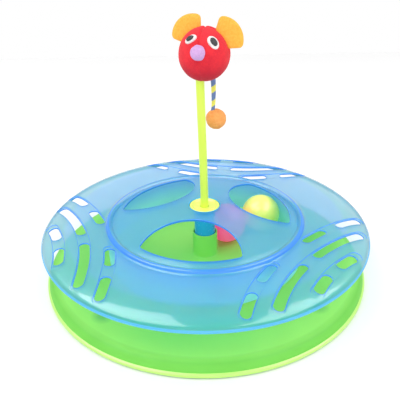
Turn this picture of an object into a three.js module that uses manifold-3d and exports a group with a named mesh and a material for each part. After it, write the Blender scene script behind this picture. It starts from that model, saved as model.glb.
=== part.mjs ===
// Cat activity board: a pierced disc cover that turns on the post of a low tray, two loose balls in the
// chamber between them, and a plush mouse on a flexible mast. Millimetres, +Z up, origin on the axis at
// the level of the floor.

import * as THREE from "three";
import { mergeVertices } from "three/addons/utils/BufferGeometryUtils.js";
import Module from "manifold-3d";

const wasm = await Module();
wasm.setup();

// Driving dimensions

const FIT_GAP = 0.3; // between pieces that touch
const ROUND_STEPS = 56; // facets of a large round moulding
const SMALL_STEPS = 28; // facets of a small round piece

const DISC_RADIUS = 125; // of the tray's lower edge and of the cover's rim

const TRAY_TOP = 10.3; // level of the surface that the balls roll on
const TRAY_WALL = 2;
const TRAY_SHOULDER = 6.5; // radius of the rounded edge
const TRAY_EDGE_LEVEL = 0.9; // lower edge, clear of the floor
const TRAY_FOOT_BAND = 2.2; // height of the thick band along the lower edge
const TRAY_BAND_WIDTH = 1.3; // how far the band stands out from the wall

const POST_RADIUS = 9.75;
const POST_BORE = 8.5;
const POST_TOP = 30.5;
const POST_LIP = 0.7; // chamfer inside the mouth
const POST_FILLET = 1.6;

const FOOT_COUNT = 4;
const FOOT_INSET = 23; // middle of a foot, in from the tray's edge
const FOOT_PHASE = -132.4; // degrees
const FOOT_RADIUS = 4.8;
const FOOT_THICKNESS = 1.2;
const BOSS_WALL = 0.6; // boss beyond the pad

const RIM_LEVEL = 36.5; // level of the cover's outer rim
const COVER_WALL = 1.8;
const RIM_BEAD = 1.1;
const EDGE_WIDTH = 23; // where the flat ring starts to curve down, in from the rim
const EDGE_DROP = 7;
const EDGE_FULLNESS = 2.2; // exponent of the curved edge, 2 is an ellipse
const RING_DIP = 1.1; // how much lower the flat ring lies at the bead
const BEAD_RADIUS = 76.4; // outside of the raised ring, and of the wall under it
const BEAD_WIDTH = 4.7;
const BEAD_HEIGHT = 1.5;
const DOME_TOP = 17.6; // height of the dome over the rim
const DOME_FALL = 0.0019; // the dome falls by this times the radius squared
const CHAMBER_DEPTH = 21.7; // how far the chamber wall reaches below the rim
const CHAMBER_WALL = 1.5;

const HUB_RADIUS = 8.1;
const HUB_BORE = 6.5;

const PETAL_COUNT = 3;
const PETAL_PHASE = 258.8; // degrees
const PETAL_REACH = 65.7; // outer arc, round the axis
const PETAL_RADIUS = 36.7;
const PETAL_CENTRE = 59.5;
const PETAL_CORNER = 3;

const GROUP_COUNT = 3;
const GROUP_PHASE = -41.5; // degrees
const ARC_OFFSET = 114; // centre of a group's arcs, beyond the rim
// Where each arc of slots crosses the group's middle, as a share of the way from the raised ring to the
// rim, and how many slots it has on either side of the middle
const SLOT_ARCS = [
  { share: 0.0123, slots: 2 },
  { share: 0.3704, slots: 1 },
  { share: 0.7366, slots: 1 },
];
const SLOT_WIDTH = 7.2;
const SLOT_RIB = 12.2; // between the slots of one arc
const SLOT_TO_RING = 1.7; // between a slot's end and the raised ring
const SLOT_END = 8.8; // centre of a slot's outer end, in from the rim
const CHANNEL_MARGIN = 0.9; // recess beside each slot
const CHANNEL_DEPTH = 0.6;
const CHANNEL_RUNOUT = 1.6; // centre of the channel's end, beyond that of its last slot

const FLANGE_RADIUS = 11.5;
const FLANGE_THICKNESS = 1.9;
const FLANGE_DISH = 1.1;
const SPIGOT_LENGTH = 20;
const SPIGOT_CHAMFER = 0.8;
const SPIGOT_FLOOR = 2; // between the socket and the plug's end

const MAST_RADIUS = 3;
const MAST_BORE = 1.8;
const MAST_LEAN = 1.05; // degrees towards -X
const MAST_IN_HEAD = 20;

const BALL_RADIUS = 16;
const BALL_PLAY = 0.35; // between a ball and the wall or the post that it runs along
const BALL_APART = 1.27; // between the two balls
const BALL_AZIMUTH = 35.2; // degrees, of the ball along the wall

const HEAD_RADIUS = 17.3;
const HEAD_HEIGHT = 37;
const HEAD_OFFSET = 1.6; // sideways from the axis
const HEAD_BOTTOM = 150;
const HEAD_TAPER = 0.02; // fuller below than above
const FACING = -15.5; // degrees that the face is turned to one side

const FELT = 1.6; // thickness of the ears
const PATCH = 1.1; // thickness of the eye patches
const EYE = { width: 6.9, height: 9.6 };
const PUPIL = { width: 4.1, height: 6.3, thickness: 0.6 };
const EYES = [
  { side: "left", azimuth: -132.5, elevation: 41.6, roll: -50 },
  { side: "right", azimuth: -66.7, elevation: 34.5, roll: 28 },
];
const NOSE = { radius: 5.1, azimuth: -105.3, elevation: 13, proud: 1.4 };
// Half of an ear: base, corner and outer arc, the heights counted from the middle of the head
const EAR = { base: 9, corner: 3.2, cornerAt: [8.55, 22.3], arc: 14.8, arcAt: 14.5, tilt: 6 };
const EARS = [
  { side: "left", angle: 127, rise: -1.2 },
  { side: "right", angle: 39, rise: 0.4 },
];

const TAIL_DIAMETER = 3.6;
const TAIL_PLAY = 0.8; // between the head and the cord's sewn end, which swings on it
const TAIL_BALL_RADIUS = 7.5;
const TAIL_BALL_CENTRE = [9.6, 15, 117.6];
const TAIL_ROUTE = [
  [5.6, 12.4, 156.8],
  [6.3, 14.3, 154.4],
  [7, 15.2, 151.2],
  [7.6, 15.3, 147],
  [7.9, 15, 139.5],
  [7.8, 15, 131],
  [7.5, 15, 126.3],
  [7.1, 15, 124.2],
];

// Levels and places worked out from the driving dimensions

const edgeStart = DISC_RADIUS - EDGE_WIDTH;
const footCircle = DISC_RADIUS - FOOT_INSET;
const seatFloor = (radius) => domeTop(radius) - FLANGE_THICKNESS;
const plateau = RIM_LEVEL + EDGE_DROP;
const headCentre = new THREE.Vector3(HEAD_OFFSET, 0, HEAD_BOTTOM + HEAD_HEIGHT / 2);
const hubEnd = TRAY_TOP + FIT_GAP;
const degrees = THREE.MathUtils.degToRad;
const arcCentre = DISC_RADIUS + ARC_OFFSET;
const outerOrbit = BEAD_RADIUS - CHAMBER_WALL - BALL_PLAY - BALL_RADIUS;
const innerOrbit = POST_RADIUS + BALL_PLAY + BALL_RADIUS;

// Materials

const plastic = (colour, opacity = 1) =>
  new THREE.MeshStandardMaterial({
    color: colour, roughness: 0.18, metalness: 0, transparent: opacity < 1, opacity,
  });
const cloth = (colour) => new THREE.MeshStandardMaterial({ color: colour, roughness: 0.9, metalness: 0 });

const trayPlastic = plastic(0x72e060, 0.9);
const coverPlastic = plastic(0x4aa5f5, 0.6);
const mastPlastic = plastic(0xd8f25c, 0.95);
const padRubber = new THREE.MeshStandardMaterial({ color: 0x4f9c4a, roughness: 0.8, metalness: 0 });

// Solids and meshes

function solid(geometry) {
  const bare = geometry.clone();
  bare.deleteAttribute("normal");
  bare.deleteAttribute("uv");
  const merged = mergeVertices(bare, 1e-4);
  const vertProperties = new Float32Array(merged.attributes.position.array);
  const triVerts = new Uint32Array(merged.index.array);
  if (signedVolume(vertProperties, triVerts) < 0) {
    for (let i = 0; i < triVerts.length; i += 3) {
      [triVerts[i], triVerts[i + 1]] = [triVerts[i + 1], triVerts[i]];
    }
  }
  return new wasm.Manifold(new wasm.Mesh({ numProp: 3, vertProperties, triVerts }));
}

function signedVolume(points, triangles) {
  const corner = (index) => new THREE.Vector3().fromArray(points, 3 * index);
  let sum = 0;
  for (let i = 0; i < triangles.length; i += 3) {
    const [a, b, c] = [corner(triangles[i]), corner(triangles[i + 1]), corner(triangles[i + 2])];
    sum += a.dot(b.cross(c)) / 6;
  }
  return sum;
}

function surface(body) {
  const { vertProperties, triVerts } = body.getMesh();
  const geometry = new THREE.BufferGeometry();
  geometry.setAttribute("position", new THREE.BufferAttribute(new Float32Array(vertProperties), 3));
  geometry.setIndex(new THREE.BufferAttribute(new Uint32Array(triVerts), 1));
  geometry.computeVertexNormals();
  return geometry;
}

function named(name, body, material) {
  const mesh = new THREE.Mesh(surface(body), material);
  mesh.name = name;
  return mesh;
}

// A closed outline of [radius, height] pairs turned about Z
function revolve(outline, steps) {
  const points = outline.map(([radius, height]) => new THREE.Vector2(radius, height));
  return new THREE.LatheGeometry(points, steps).rotateX(Math.PI / 2);
}

function closed(outline) {
  return [...outline, outline[0]];
}

// Points on a circle in a plane, from one angle to another, both in radians
function arc(x, y, radius, from, to, steps) {
  return Array.from({ length: steps + 1 }, (_, i) => {
    const angle = from + ((to - from) * i) / steps;
    return [x + radius * Math.cos(angle), y + radius * Math.sin(angle)];
  });
}

// A flat outline carried straight up, as a solid
function prism(outline, bottom, top) {
  const shape = new THREE.Shape(outline.map(([x, y]) => new THREE.Vector2(x, y)));
  const block = new THREE.ExtrudeGeometry(shape, { depth: top - bottom, bevelEnabled: false });
  return solid(block.translate(0, 0, bottom));
}

function cylinder(radius, bottom, top, steps) {
  return solid(
    new THREE.CylinderGeometry(radius, radius, top - bottom, steps)
      .rotateX(Math.PI / 2)
      .translate(0, 0, (bottom + top) / 2),
  );
}

function turned(body, angle) {
  return body.rotate([0, 0, angle]);
}

function joined(bodies) {
  return bodies.reduce((sum, body) => sum.add(body));
}

// Tray: a low moulding with a rounded shoulder, open underneath, with the post and the bosses of its feet

function trayShell() {
  const outside = DISC_RADIUS - TRAY_BAND_WIDTH;
  const inside = outside - TRAY_WALL;
  const bandTop = TRAY_EDGE_LEVEL + TRAY_FOOT_BAND;
  const centre = [outside - TRAY_SHOULDER, TRAY_TOP - TRAY_SHOULDER];
  const hollow = TRAY_SHOULDER - TRAY_WALL;
  const quarter = Math.PI / 2;
  return closed([
    [0, TRAY_TOP],
    [POST_BORE, TRAY_TOP],
    [POST_BORE, POST_TOP - POST_LIP],
    [POST_BORE + POST_LIP, POST_TOP],
    [POST_RADIUS, POST_TOP],
    ...arc(POST_RADIUS + POST_FILLET, TRAY_TOP + POST_FILLET, POST_FILLET, 2 * quarter, 3 * quarter, 3),
    ...arc(...centre, TRAY_SHOULDER, quarter, 0, 5),
    [outside, bandTop + TRAY_BAND_WIDTH / 2],
    [DISC_RADIUS, bandTop],
    [DISC_RADIUS, TRAY_EDGE_LEVEL],
    [inside, TRAY_EDGE_LEVEL],
    ...arc(...centre, hollow, 0, quarter, 3),
    [0, TRAY_TOP - TRAY_WALL],
  ]);
}

const bossFoot = FOOT_THICKNESS + FIT_GAP;

function footPlaces() {
  return Array.from({ length: FOOT_COUNT }, (_, i) => degrees(FOOT_PHASE + (360 * i) / FOOT_COUNT)).map(
    (angle) => [footCircle * Math.cos(angle), footCircle * Math.sin(angle), 0],
  );
}

function tray() {
  const boss = cylinder(FOOT_RADIUS + BOSS_WALL, bossFoot, TRAY_TOP - TRAY_WALL / 2, SMALL_STEPS);
  const bosses = footPlaces().map((place) => boss.translate(place));
  return joined([solid(revolve(trayShell(), ROUND_STEPS)), ...bosses]);
}

function feet() {
  const pad = cylinder(FOOT_RADIUS, 0, FOOT_THICKNESS, SMALL_STEPS);
  return footPlaces().map((place, i) => named(`foot_pad_${i + 1}`, pad.translate(place), padRubber));
}

// Cover: dome, raised ring, flat ring and curved edge in one skin, with the chamber wall and the hub below

function domeTop(radius) {
  return RIM_LEVEL + DOME_TOP - DOME_FALL * radius * radius;
}

function ringTop(radius) {
  const share = (edgeStart - radius) / (edgeStart - BEAD_RADIUS);
  return plateau - RING_DIP * share * share;
}

// Curved edge from the flat ring to the rim, drawn in by a depth to give the inside of the skin
function edgeCurve(depth, steps) {
  const reach = DISC_RADIUS - RIM_BEAD / 2 - edgeStart - depth;
  const drop = EDGE_DROP - depth;
  return Array.from({ length: steps + 1 }, (_, i) => {
    const angle = (Math.PI / 2) * (i / steps);
    const along = Math.sin(angle) ** (2 / EDGE_FULLNESS);
    const up = Math.max(Math.cos(angle), 0) ** (2 / EDGE_FULLNESS);
    return [edgeStart + reach * along, RIM_LEVEL + drop * up];
  });
}

function spread(from, to, steps, level) {
  return Array.from({ length: steps + 1 }, (_, i) => {
    const radius = from + ((to - from) * i) / steps;
    return [radius, level(radius)];
  });
}

function bead() {
  const middle = BEAD_RADIUS - BEAD_WIDTH / 2;
  const foot = Math.max(domeTop(middle), ringTop(BEAD_RADIUS));
  return Array.from({ length: 6 }, (_, i) => {
    const angle = Math.PI * (1 - i / 5);
    return [middle + (BEAD_WIDTH / 2) * Math.cos(angle), foot + BEAD_HEIGHT * Math.sin(angle)];
  });
}

function coverSkin() {
  const recess = FLANGE_RADIUS + FIT_GAP;
  const wallInside = BEAD_RADIUS - CHAMBER_WALL;
  const wallEnd = RIM_LEVEL - CHAMBER_DEPTH;
  const under = (level) => (radius) => level(radius) - COVER_WALL;
  const beadStart = BEAD_RADIUS - BEAD_WIDTH;
  const lip = DISC_RADIUS - RIM_BEAD;
  return closed([
    [HUB_BORE, seatFloor(recess)],
    [recess, seatFloor(recess)],
    ...spread(recess, beadStart - 1, 5, domeTop),
    ...bead(),
    ...spread(BEAD_RADIUS + 1, edgeStart, 2, ringTop),
    ...edgeCurve(0, 6).slice(1, -1),
    ...arc(lip, RIM_LEVEL, RIM_BEAD, Math.PI / 2 - 0.6, -Math.PI, 5),
    ...edgeCurve(COVER_WALL, 4).reverse().slice(1, -1),
    ...spread(edgeStart, BEAD_RADIUS, 1, under(ringTop)),
    [BEAD_RADIUS, wallEnd],
    [wallInside, wallEnd],
    ...spread(wallInside, recess, 3, under(domeTop)),
    [HUB_RADIUS, seatFloor(recess) - COVER_WALL],
    [HUB_RADIUS, hubEnd],
    [HUB_BORE, hubEnd],
  ]);
}

// Outline of a petal opening: a circle cut off by an arc round the axis, with rounded corners
function petalOutline() {
  const outer = PETAL_REACH - PETAL_CORNER;
  const inner = PETAL_RADIUS - PETAL_CORNER;
  const x = (outer ** 2 - inner ** 2 + PETAL_CENTRE ** 2) / (2 * PETAL_CENTRE);
  const y = Math.sqrt(outer ** 2 - x ** 2);
  const reachAngle = Math.atan2(y, x);
  const petalAngle = Math.atan2(y, x - PETAL_CENTRE);
  return [
    ...arc(0, 0, PETAL_REACH, -reachAngle, reachAngle, 12),
    ...arc(x, y, PETAL_CORNER, reachAngle, petalAngle, 4).slice(1),
    ...arc(PETAL_CENTRE, 0, PETAL_RADIUS, petalAngle, 2 * Math.PI - petalAngle, 18).slice(1),
    ...arc(x, -y, PETAL_CORNER, -petalAngle, -reachAngle, 4).slice(1, -1),
  ];
}

// Outline of a band along an arc whose centre lies outside the rim, with round ends about the places at
// the given angles from the group's middle
function bandOutline(radius, width, from, to) {
  const half = width / 2;
  const start = Math.PI - to;
  const end = Math.PI - from;
  const steps = Math.max(2, Math.ceil((end - start) / degrees(5)));
  const tip = (angle) => [arcCentre + radius * Math.cos(angle), radius * Math.sin(angle)];
  return [
    ...arc(arcCentre, 0, radius + half, start, end, steps),
    ...arc(...tip(end), half, end, end + Math.PI, 4).slice(1, -1),
    ...arc(arcCentre, 0, radius - half, end, start, steps),
    ...arc(...tip(start), half, start - Math.PI, start, 4).slice(1, -1),
  ];
}

// Angle at the arcs' centre where an arc crosses a circle round the axis, 0 where it lies all outside
function crossing(radius, circle) {
  const cosine = (arcCentre ** 2 + radius ** 2 - circle ** 2) / (2 * arcCentre * radius);
  return Math.acos(Math.min(1, cosine));
}

// Ends of an arc's slots on one side of the group's middle, equal in length with a rib between them
function slotSpans(radius, count) {
  const half = SLOT_WIDTH / 2;
  const rib = (SLOT_RIB + SLOT_WIDTH) / radius;
  const first = Math.max(rib / 2, crossing(radius, BEAD_RADIUS + SLOT_TO_RING + half));
  const last = crossing(radius, DISC_RADIUS - SLOT_END);
  const length = (last - first - (count - 1) * rib) / count;
  return Array.from({ length: count }, (_, i) => {
    const start = first + i * (length + rib);
    return [start, start + length];
  });
}

function mirrored(outline) {
  return outline.map(([x, y]) => [x, -y]).reverse();
}

// Space above the cover's skin at a given depth into it, which bounds the sunk channels from below
function overSkin(depth) {
  const ceiling = plateau + 2 * EDGE_DROP;
  return solid(
    revolve(
      closed([
        ...spread(BEAD_RADIUS, edgeStart, 2, (radius) => ringTop(radius) - depth),
        ...edgeCurve(depth, 6).slice(1),
        [DISC_RADIUS + EDGE_DROP, RIM_LEVEL],
        [DISC_RADIUS + EDGE_DROP, ceiling],
        [BEAD_RADIUS, ceiling],
      ]),
      ROUND_STEPS,
    ),
  );
}

function slotGroup() {
  const below = RIM_LEVEL - EDGE_DROP;
  const above = plateau + EDGE_DROP;
  const slots = [];
  const channels = [];
  for (const { share, slots: count } of SLOT_ARCS) {
    const radius = arcCentre - BEAD_RADIUS - share * (DISC_RADIUS - BEAD_RADIUS);
    const width = SLOT_WIDTH + 2 * CHANNEL_MARGIN;
    const start = crossing(radius, BEAD_RADIUS + width / 2);
    const end = crossing(radius, DISC_RADIUS - SLOT_END + CHANNEL_RUNOUT);
    const recess = bandOutline(radius, width, start || -end, end);
    channels.push(prism(recess, below, above), prism(mirrored(recess), below, above));
    for (const [from, to] of slotSpans(radius, count)) {
      const outline = bandOutline(radius, SLOT_WIDTH, from, to);
      slots.push(prism(outline, below, above), prism(mirrored(outline), below, above));
    }
  }
  return { slots: joined(slots), channels: joined(channels) };
}

function cover() {
  const petal = prism(petalOutline(), RIM_LEVEL, domeTop(0) + 1);
  const group = slotGroup();
  const sunk = overSkin(CHANNEL_DEPTH);
  let body = solid(revolve(coverSkin(), ROUND_STEPS));
  for (let i = 0; i < PETAL_COUNT; i += 1) {
    body = body.subtract(turned(petal, PETAL_PHASE + (360 * i) / PETAL_COUNT));
  }
  for (let i = 0; i < GROUP_COUNT; i += 1) {
    const angle = GROUP_PHASE + (360 * i) / GROUP_COUNT;
    body = body.subtract(turned(group.channels, angle).intersect(sunk));
    body = body.subtract(turned(group.slots, angle));
  }
  return body;
}

// Mast: a flanged plug that drops into the hub, and a flexible tube that stands in it

const flangeTop = domeTop(FLANGE_RADIUS + FIT_GAP);
const plugUnder = flangeTop - FLANGE_THICKNESS + FIT_GAP;
const plugEnd = plugUnder - SPIGOT_LENGTH;
const socket = MAST_RADIUS + FIT_GAP;
const socketFloor = plugEnd + SPIGOT_FLOOR;

function plug() {
  const spigot = HUB_BORE - FIT_GAP;
  const dish = flangeTop - FLANGE_DISH;
  return solid(
    revolve(
      closed([
        [0, socketFloor],
        [socket, socketFloor],
        [socket, dish],
        [FLANGE_RADIUS - 2.6, dish],
        [FLANGE_RADIUS - 1.2, flangeTop],
        [FLANGE_RADIUS - 0.4, flangeTop],
        [FLANGE_RADIUS, flangeTop - 0.5],
        [FLANGE_RADIUS, plugUnder],
        [spigot, plugUnder],
        [spigot, plugEnd + SPIGOT_CHAMFER],
        [spigot - SPIGOT_CHAMFER, plugEnd],
        [0, plugEnd],
      ]),
      SMALL_STEPS,
    ),
  );
}

// The mast stands straight in its plug and leans a little above it
function mastPath(bottom, top) {
  const bend = flangeTop + MAST_RADIUS;
  const rise = top - bend;
  const lean = Math.tan(degrees(MAST_LEAN));
  const points = [
    [0, bottom],
    [0, bend],
    [-lean * rise * 0.25, bend + rise * 0.3],
    [-lean * rise * 0.65, bend + rise * 0.65],
    [-lean * rise, top],
  ];
  return new THREE.CatmullRomCurve3(
    points.map(([x, z]) => new THREE.Vector3(x, 0, z)), false, "centripetal",
  );
}

function tube(outer, bore, path, sides, steps) {
  const shape = new THREE.Shape(
    arc(0, 0, outer, 0, 2 * Math.PI, sides).slice(0, -1).map(([x, y]) => new THREE.Vector2(x, y)),
  );
  if (bore > 0) {
    const hole = arc(0, 0, bore, 2 * Math.PI, 0, sides).slice(0, -1);
    shape.holes.push(new THREE.Path(hole.map(([x, y]) => new THREE.Vector2(x, y))));
  }
  return solid(new THREE.ExtrudeGeometry(shape, { steps, bevelEnabled: false, extrudePath: path }));
}

const mastTop = HEAD_BOTTOM + MAST_IN_HEAD;

function mast(outer, bore, top) {
  return tube(outer, bore, mastPath(socketFloor + FIT_GAP, top), 16, 10);
}

// Head: a stuffed ball, a little fuller below than above, grown by a margin to fit what lies on it

function headBall(grow) {
  const half = HEAD_HEIGHT / 2 + grow;
  const outline = Array.from({ length: 17 }, (_, i) => {
    const angle = Math.PI * (1 - i / 16);
    const swell = 1 - HEAD_TAPER * Math.cos(angle);
    const radius = i % 16 === 0 ? 0 : (HEAD_RADIUS + grow) * swell * Math.sin(angle);
    return [radius, headCentre.z + half * Math.cos(angle)];
  });
  return solid(revolve(closed(outline), SMALL_STEPS)).translate([headCentre.x, 0, 0]);
}

function head() {
  return headBall(0).subtract(mast(MAST_RADIUS + FIT_GAP, 0, mastTop + FIT_GAP));
}

// Turns a solid drawn about +Z so that it looks out of the head, and carries it there
function onHead(body, azimuth, elevation, roll) {
  const place = new THREE.Matrix4()
    .makeTranslation(headCentre)
    .multiply(new THREE.Matrix4().makeRotationZ(degrees(azimuth)))
    .multiply(new THREE.Matrix4().makeRotationY(degrees(90 - elevation)))
    .multiply(new THREE.Matrix4().makeRotationZ(degrees(roll - 90)));
  return body.transform(place.elements);
}

function ovalOutline({ width, height }) {
  return arc(0, 0, 1, 0, 2 * Math.PI, 20).slice(0, -1).map(([x, y]) => [(x * width) / 2, (y * height) / 2]);
}

// A patch of the head's surface under an oval, between two distances from the head
function patch(size, eye, from, to) {
  const punch = onHead(prism(ovalOutline(size), 0, 2 * HEAD_HEIGHT), eye.azimuth, eye.elevation, eye.roll);
  return headBall(to).subtract(headBall(from)).intersect(punch);
}

function eyes() {
  const patchTop = FIT_GAP + PATCH;
  const felt = cloth(0xfaf6f4);
  const dark = cloth(0x3c3c3e);
  return EYES.flatMap((eye) => [
    named(`eye_${eye.side}`, patch(EYE, eye, FIT_GAP, patchTop), felt),
    named(
      `pupil_${eye.side}`,
      patch(PUPIL, eye, patchTop + FIT_GAP, patchTop + FIT_GAP + PUPIL.thickness),
      dark,
    ),
  ]);
}

function nose() {
  const ball = solid(new THREE.SphereGeometry(NOSE.radius, 20, 12).rotateX(Math.PI / 2));
  const lifted = ball.translate([0, 0, HEAD_RADIUS + NOSE.proud]);
  return onHead(lifted, NOSE.azimuth, NOSE.elevation, 0).subtract(headBall(FIT_GAP));
}

// Ear: a flat felt piece with two round corners, standing out of the head's seam
function earOutline() {
  const { base, corner, cornerAt: [side, level], arc: bow, arcAt } = EAR;
  const flare = -0.43;
  const turn = Math.atan2(level - arcAt, side);
  const root = 0.6 * HEAD_RADIUS;
  const half = [
    [base - 1.6, root],
    ...arc(side, level, corner, flare, turn, 4),
    ...arc(0, arcAt, bow, turn, Math.PI / 2, 4).slice(1),
  ];
  const other = half.slice(0, -1).map(([x, y]) => [-x, y]);
  return [...half, ...other.reverse()];
}

function ear(angle, rise) {
  const flat = prism(earOutline(), -FELT / 2, FELT / 2).translate([0, rise, 0]);
  const raised = flat.rotate([0, 0, angle - 90]).rotate([90 - EAR.tilt, 0, 0]).rotate([0, 0, FACING]);
  return raised.translate(headCentre.toArray()).subtract(headBall(FIT_GAP));
}

// Tail: a limp cord sewn to the back of the head, with a felt ball on its end

function tailBall(grow) {
  const ball = new THREE.SphereGeometry(TAIL_BALL_RADIUS + grow, 20, 12).rotateX(Math.PI / 2);
  return solid(ball).translate(TAIL_BALL_CENTRE);
}

function tail() {
  const path = new THREE.CatmullRomCurve3(TAIL_ROUTE.map((point) => new THREE.Vector3(...point)));
  const cord = tube(TAIL_DIAMETER / 2, 0, path, 8, 9);
  return cord.subtract(headBall(TAIL_PLAY)).subtract(tailBall(FIT_GAP));
}

// Loose balls on the tray, one along the chamber's wall and one along the post

// Angle at the axis between the balls, which lie apart by their gap
function betweenBalls() {
  const apart = 2 * BALL_RADIUS + BALL_APART;
  const cosine = (outerOrbit ** 2 + innerOrbit ** 2 - apart ** 2) / (2 * outerOrbit * innerOrbit);
  return Math.acos(Math.min(1, cosine));
}

function rollingBall(name, orbit, azimuth, colour) {
  const ball = solid(new THREE.SphereGeometry(BALL_RADIUS, 24, 16).rotateX(Math.PI / 2));
  const place = [
    orbit * Math.cos(azimuth),
    orbit * Math.sin(azimuth),
    TRAY_TOP + FIT_GAP + BALL_RADIUS,
  ];
  return named(name, ball.translate(place), plastic(colour));
}

const board = new THREE.Group();
board.add(named("base_tray", tray(), trayPlastic), ...feet());
board.add(named("cover", cover(), coverPlastic));
board.add(named("mast_plug", plug(), mastPlastic));
board.add(named("mast_tube", mast(MAST_RADIUS, MAST_BORE, mastTop), mastPlastic));
board.add(named("head", head(), cloth(0xe8323c)), ...eyes(), named("nose", nose(), cloth(0xcdb0dc)));
board.add(
  ...EARS.map(({ side, angle, rise }) => named(`ear_${side}`, ear(angle, rise), cloth(0xfdc050))),
);
board.add(named("tail_cord", tail(), cloth(0x6f8bc8)));
board.add(named("tail_ball", tailBall(0), cloth(0xfda45c)));
board.add(rollingBall("ball_yellow", outerOrbit, degrees(BALL_AZIMUTH), 0xfbf98a));
board.add(rollingBall("ball_pink", innerOrbit, degrees(BALL_AZIMUTH) + betweenBalls(), 0xe8618e));

export default board;
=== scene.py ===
"""Looks of a round cat activity board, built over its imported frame.

A low green tray stands on four pads. A clear blue cover with petal openings and arc slots turns on the
tray's post, over two loose balls. A stuffed head with felt ears and eyes, a nose and a tail stands on a
mast in the cover's hub. Sizes in the classes are millimetres. Meshes are made in metres, in place.
"""

import logging
import math
from dataclasses import dataclass, field, replace
from enum import Enum, IntEnum
from typing import Callable, Sequence

import bpy
import numpy as np
from mathutils import Matrix
from mathutils.geometry import delaunay_2d_cdt


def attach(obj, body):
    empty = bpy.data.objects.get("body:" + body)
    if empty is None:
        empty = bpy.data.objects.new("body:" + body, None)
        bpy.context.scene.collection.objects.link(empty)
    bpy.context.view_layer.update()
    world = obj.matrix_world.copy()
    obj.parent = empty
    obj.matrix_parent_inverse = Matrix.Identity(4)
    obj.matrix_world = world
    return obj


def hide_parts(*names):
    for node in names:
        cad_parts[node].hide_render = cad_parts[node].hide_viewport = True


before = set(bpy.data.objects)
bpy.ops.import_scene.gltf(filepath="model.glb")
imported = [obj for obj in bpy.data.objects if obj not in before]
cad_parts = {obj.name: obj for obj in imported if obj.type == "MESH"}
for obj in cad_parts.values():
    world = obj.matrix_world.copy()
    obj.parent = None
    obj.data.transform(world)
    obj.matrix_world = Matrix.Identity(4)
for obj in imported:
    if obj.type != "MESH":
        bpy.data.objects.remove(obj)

logging.basicConfig(level=logging.INFO, format="%(message)s")
log = logging.getLogger("board")

MM = 0.001
Array = np.ndarray
Place = tuple[float, float, float]
Span = tuple[float, float]
Arc = tuple[Span, float, float, float, int]
Tree = bpy.types.NodeTree
Socket = bpy.types.NodeSocket


class Way(Enum):
    """What a moulding's painted light follows: level over the floor, or distance from the disc's axis."""

    LEVEL = "level"
    REACH = "reach"


class CoverPart(IntEnum):
    """The parts of the cover that differ in finish, in the order of its materials."""

    SKIN = 0
    EDGE = 1
    WALL = 2
    HUB = 3
    RIM = 4


class Side(Enum):
    """The left or right side of the face, as a viewer in front of it sees them."""

    LEFT = "left"
    RIGHT = "right"


# Finishes


def linear(colour: str) -> tuple[float, float, float, float]:
    """Turns an sRGB hex colour into the linear colour that a shader takes.

    Args:
        colour: such as "#72e060".

    Returns:
        Red, green, blue and an alpha of 1.
    """
    shares = np.array([int(colour[i : i + 2], 16) for i in (1, 3, 5)]) / 255
    red, green, blue = np.where(shares <= 0.04045, shares / 12.92, ((shares + 0.055) / 1.055) ** 2.4)
    return float(red), float(green), float(blue), 1.0


def per_metre(distance: float) -> float:
    """Scale of a texture whose features lie a distance in mm apart."""
    return 1 / (distance * MM)


def metres(span: Span) -> Span:
    """A span of mm in metres."""
    return span[0] * MM, span[1] * MM


def add_node(
    tree: Tree, kind: str, inputs: dict | None = None, out: int | str = 0, **settings: object
) -> Socket | None:
    """Adds a shader node with its settings and links.

    Args:
        tree: the material's or world's node tree.
        kind: the node's type, such as "ShaderNodeTexNoise".
        inputs: values or other nodes' outputs for its inputs, by the input's name or number.
        out: name or number of the output that is wanted.
        **settings: the node's own options.

    Returns:
        That output, or None for a node that ends a tree.
    """
    node = tree.nodes.new(kind)
    for name, value in settings.items():
        setattr(node, name, value)
    for name, value in (inputs or {}).items():
        if isinstance(value, Socket):
            tree.links.new(value, node.inputs[name])
        else:
            node.inputs[name].default_value = value
    return node.outputs[out] if node.outputs else None


def reach_of(tree: Tree, place: Socket) -> Socket:
    """Distance from the disc's axis: the length of the place with its height left out."""
    flat = add_node(tree, "ShaderNodeVectorMath", {0: place, 1: (1, 1, 0)}, operation="MULTIPLY")
    return add_node(tree, "ShaderNodeVectorMath", {0: flat}, "Value", operation="LENGTH")


def toned(tree: Tree, way: Socket, span: Span, low: Socket | str, high: str) -> Socket:
    """Runs from one colour to another as a value crosses a span.

    Args:
        tree: the material's node tree.
        way: the value's output.
        span: the values at the first and at the second colour.
        low: the first colour, a hex colour or an output.
        high: the second colour, a hex colour.

    Returns:
        The colour's output.
    """
    share = add_node(tree, "ShaderNodeMapRange", {"Value": way, "From Min": span[0], "From Max": span[1]})
    first = linear(low) if isinstance(low, str) else low
    return add_node(tree, "ShaderNodeMix", {0: share, 6: first, 7: linear(high)}, 2, data_type="RGBA")


@dataclass(frozen=True)
class Finish:
    """A material with one Principled shader, whose inputs each kind of finish works out."""

    name: str
    colour: str

    def shading(self, tree: Tree, place: Socket) -> dict:
        """The shader's inputs; a plain matt colour unless a kind of finish says more."""
        return {"Base Color": linear(self.colour)}

    def make(self) -> bpy.types.Material:
        """Builds the material and returns it."""
        material = bpy.data.materials.new(self.name)
        material.use_nodes = True
        tree = material.node_tree
        tree.nodes.clear()
        place = add_node(tree, "ShaderNodeTexCoord", out="Object")
        shader = add_node(tree, "ShaderNodeBsdfPrincipled", self.shading(tree, place))
        add_node(tree, "ShaderNodeOutputMaterial", {"Surface": shader})
        return material


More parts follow.
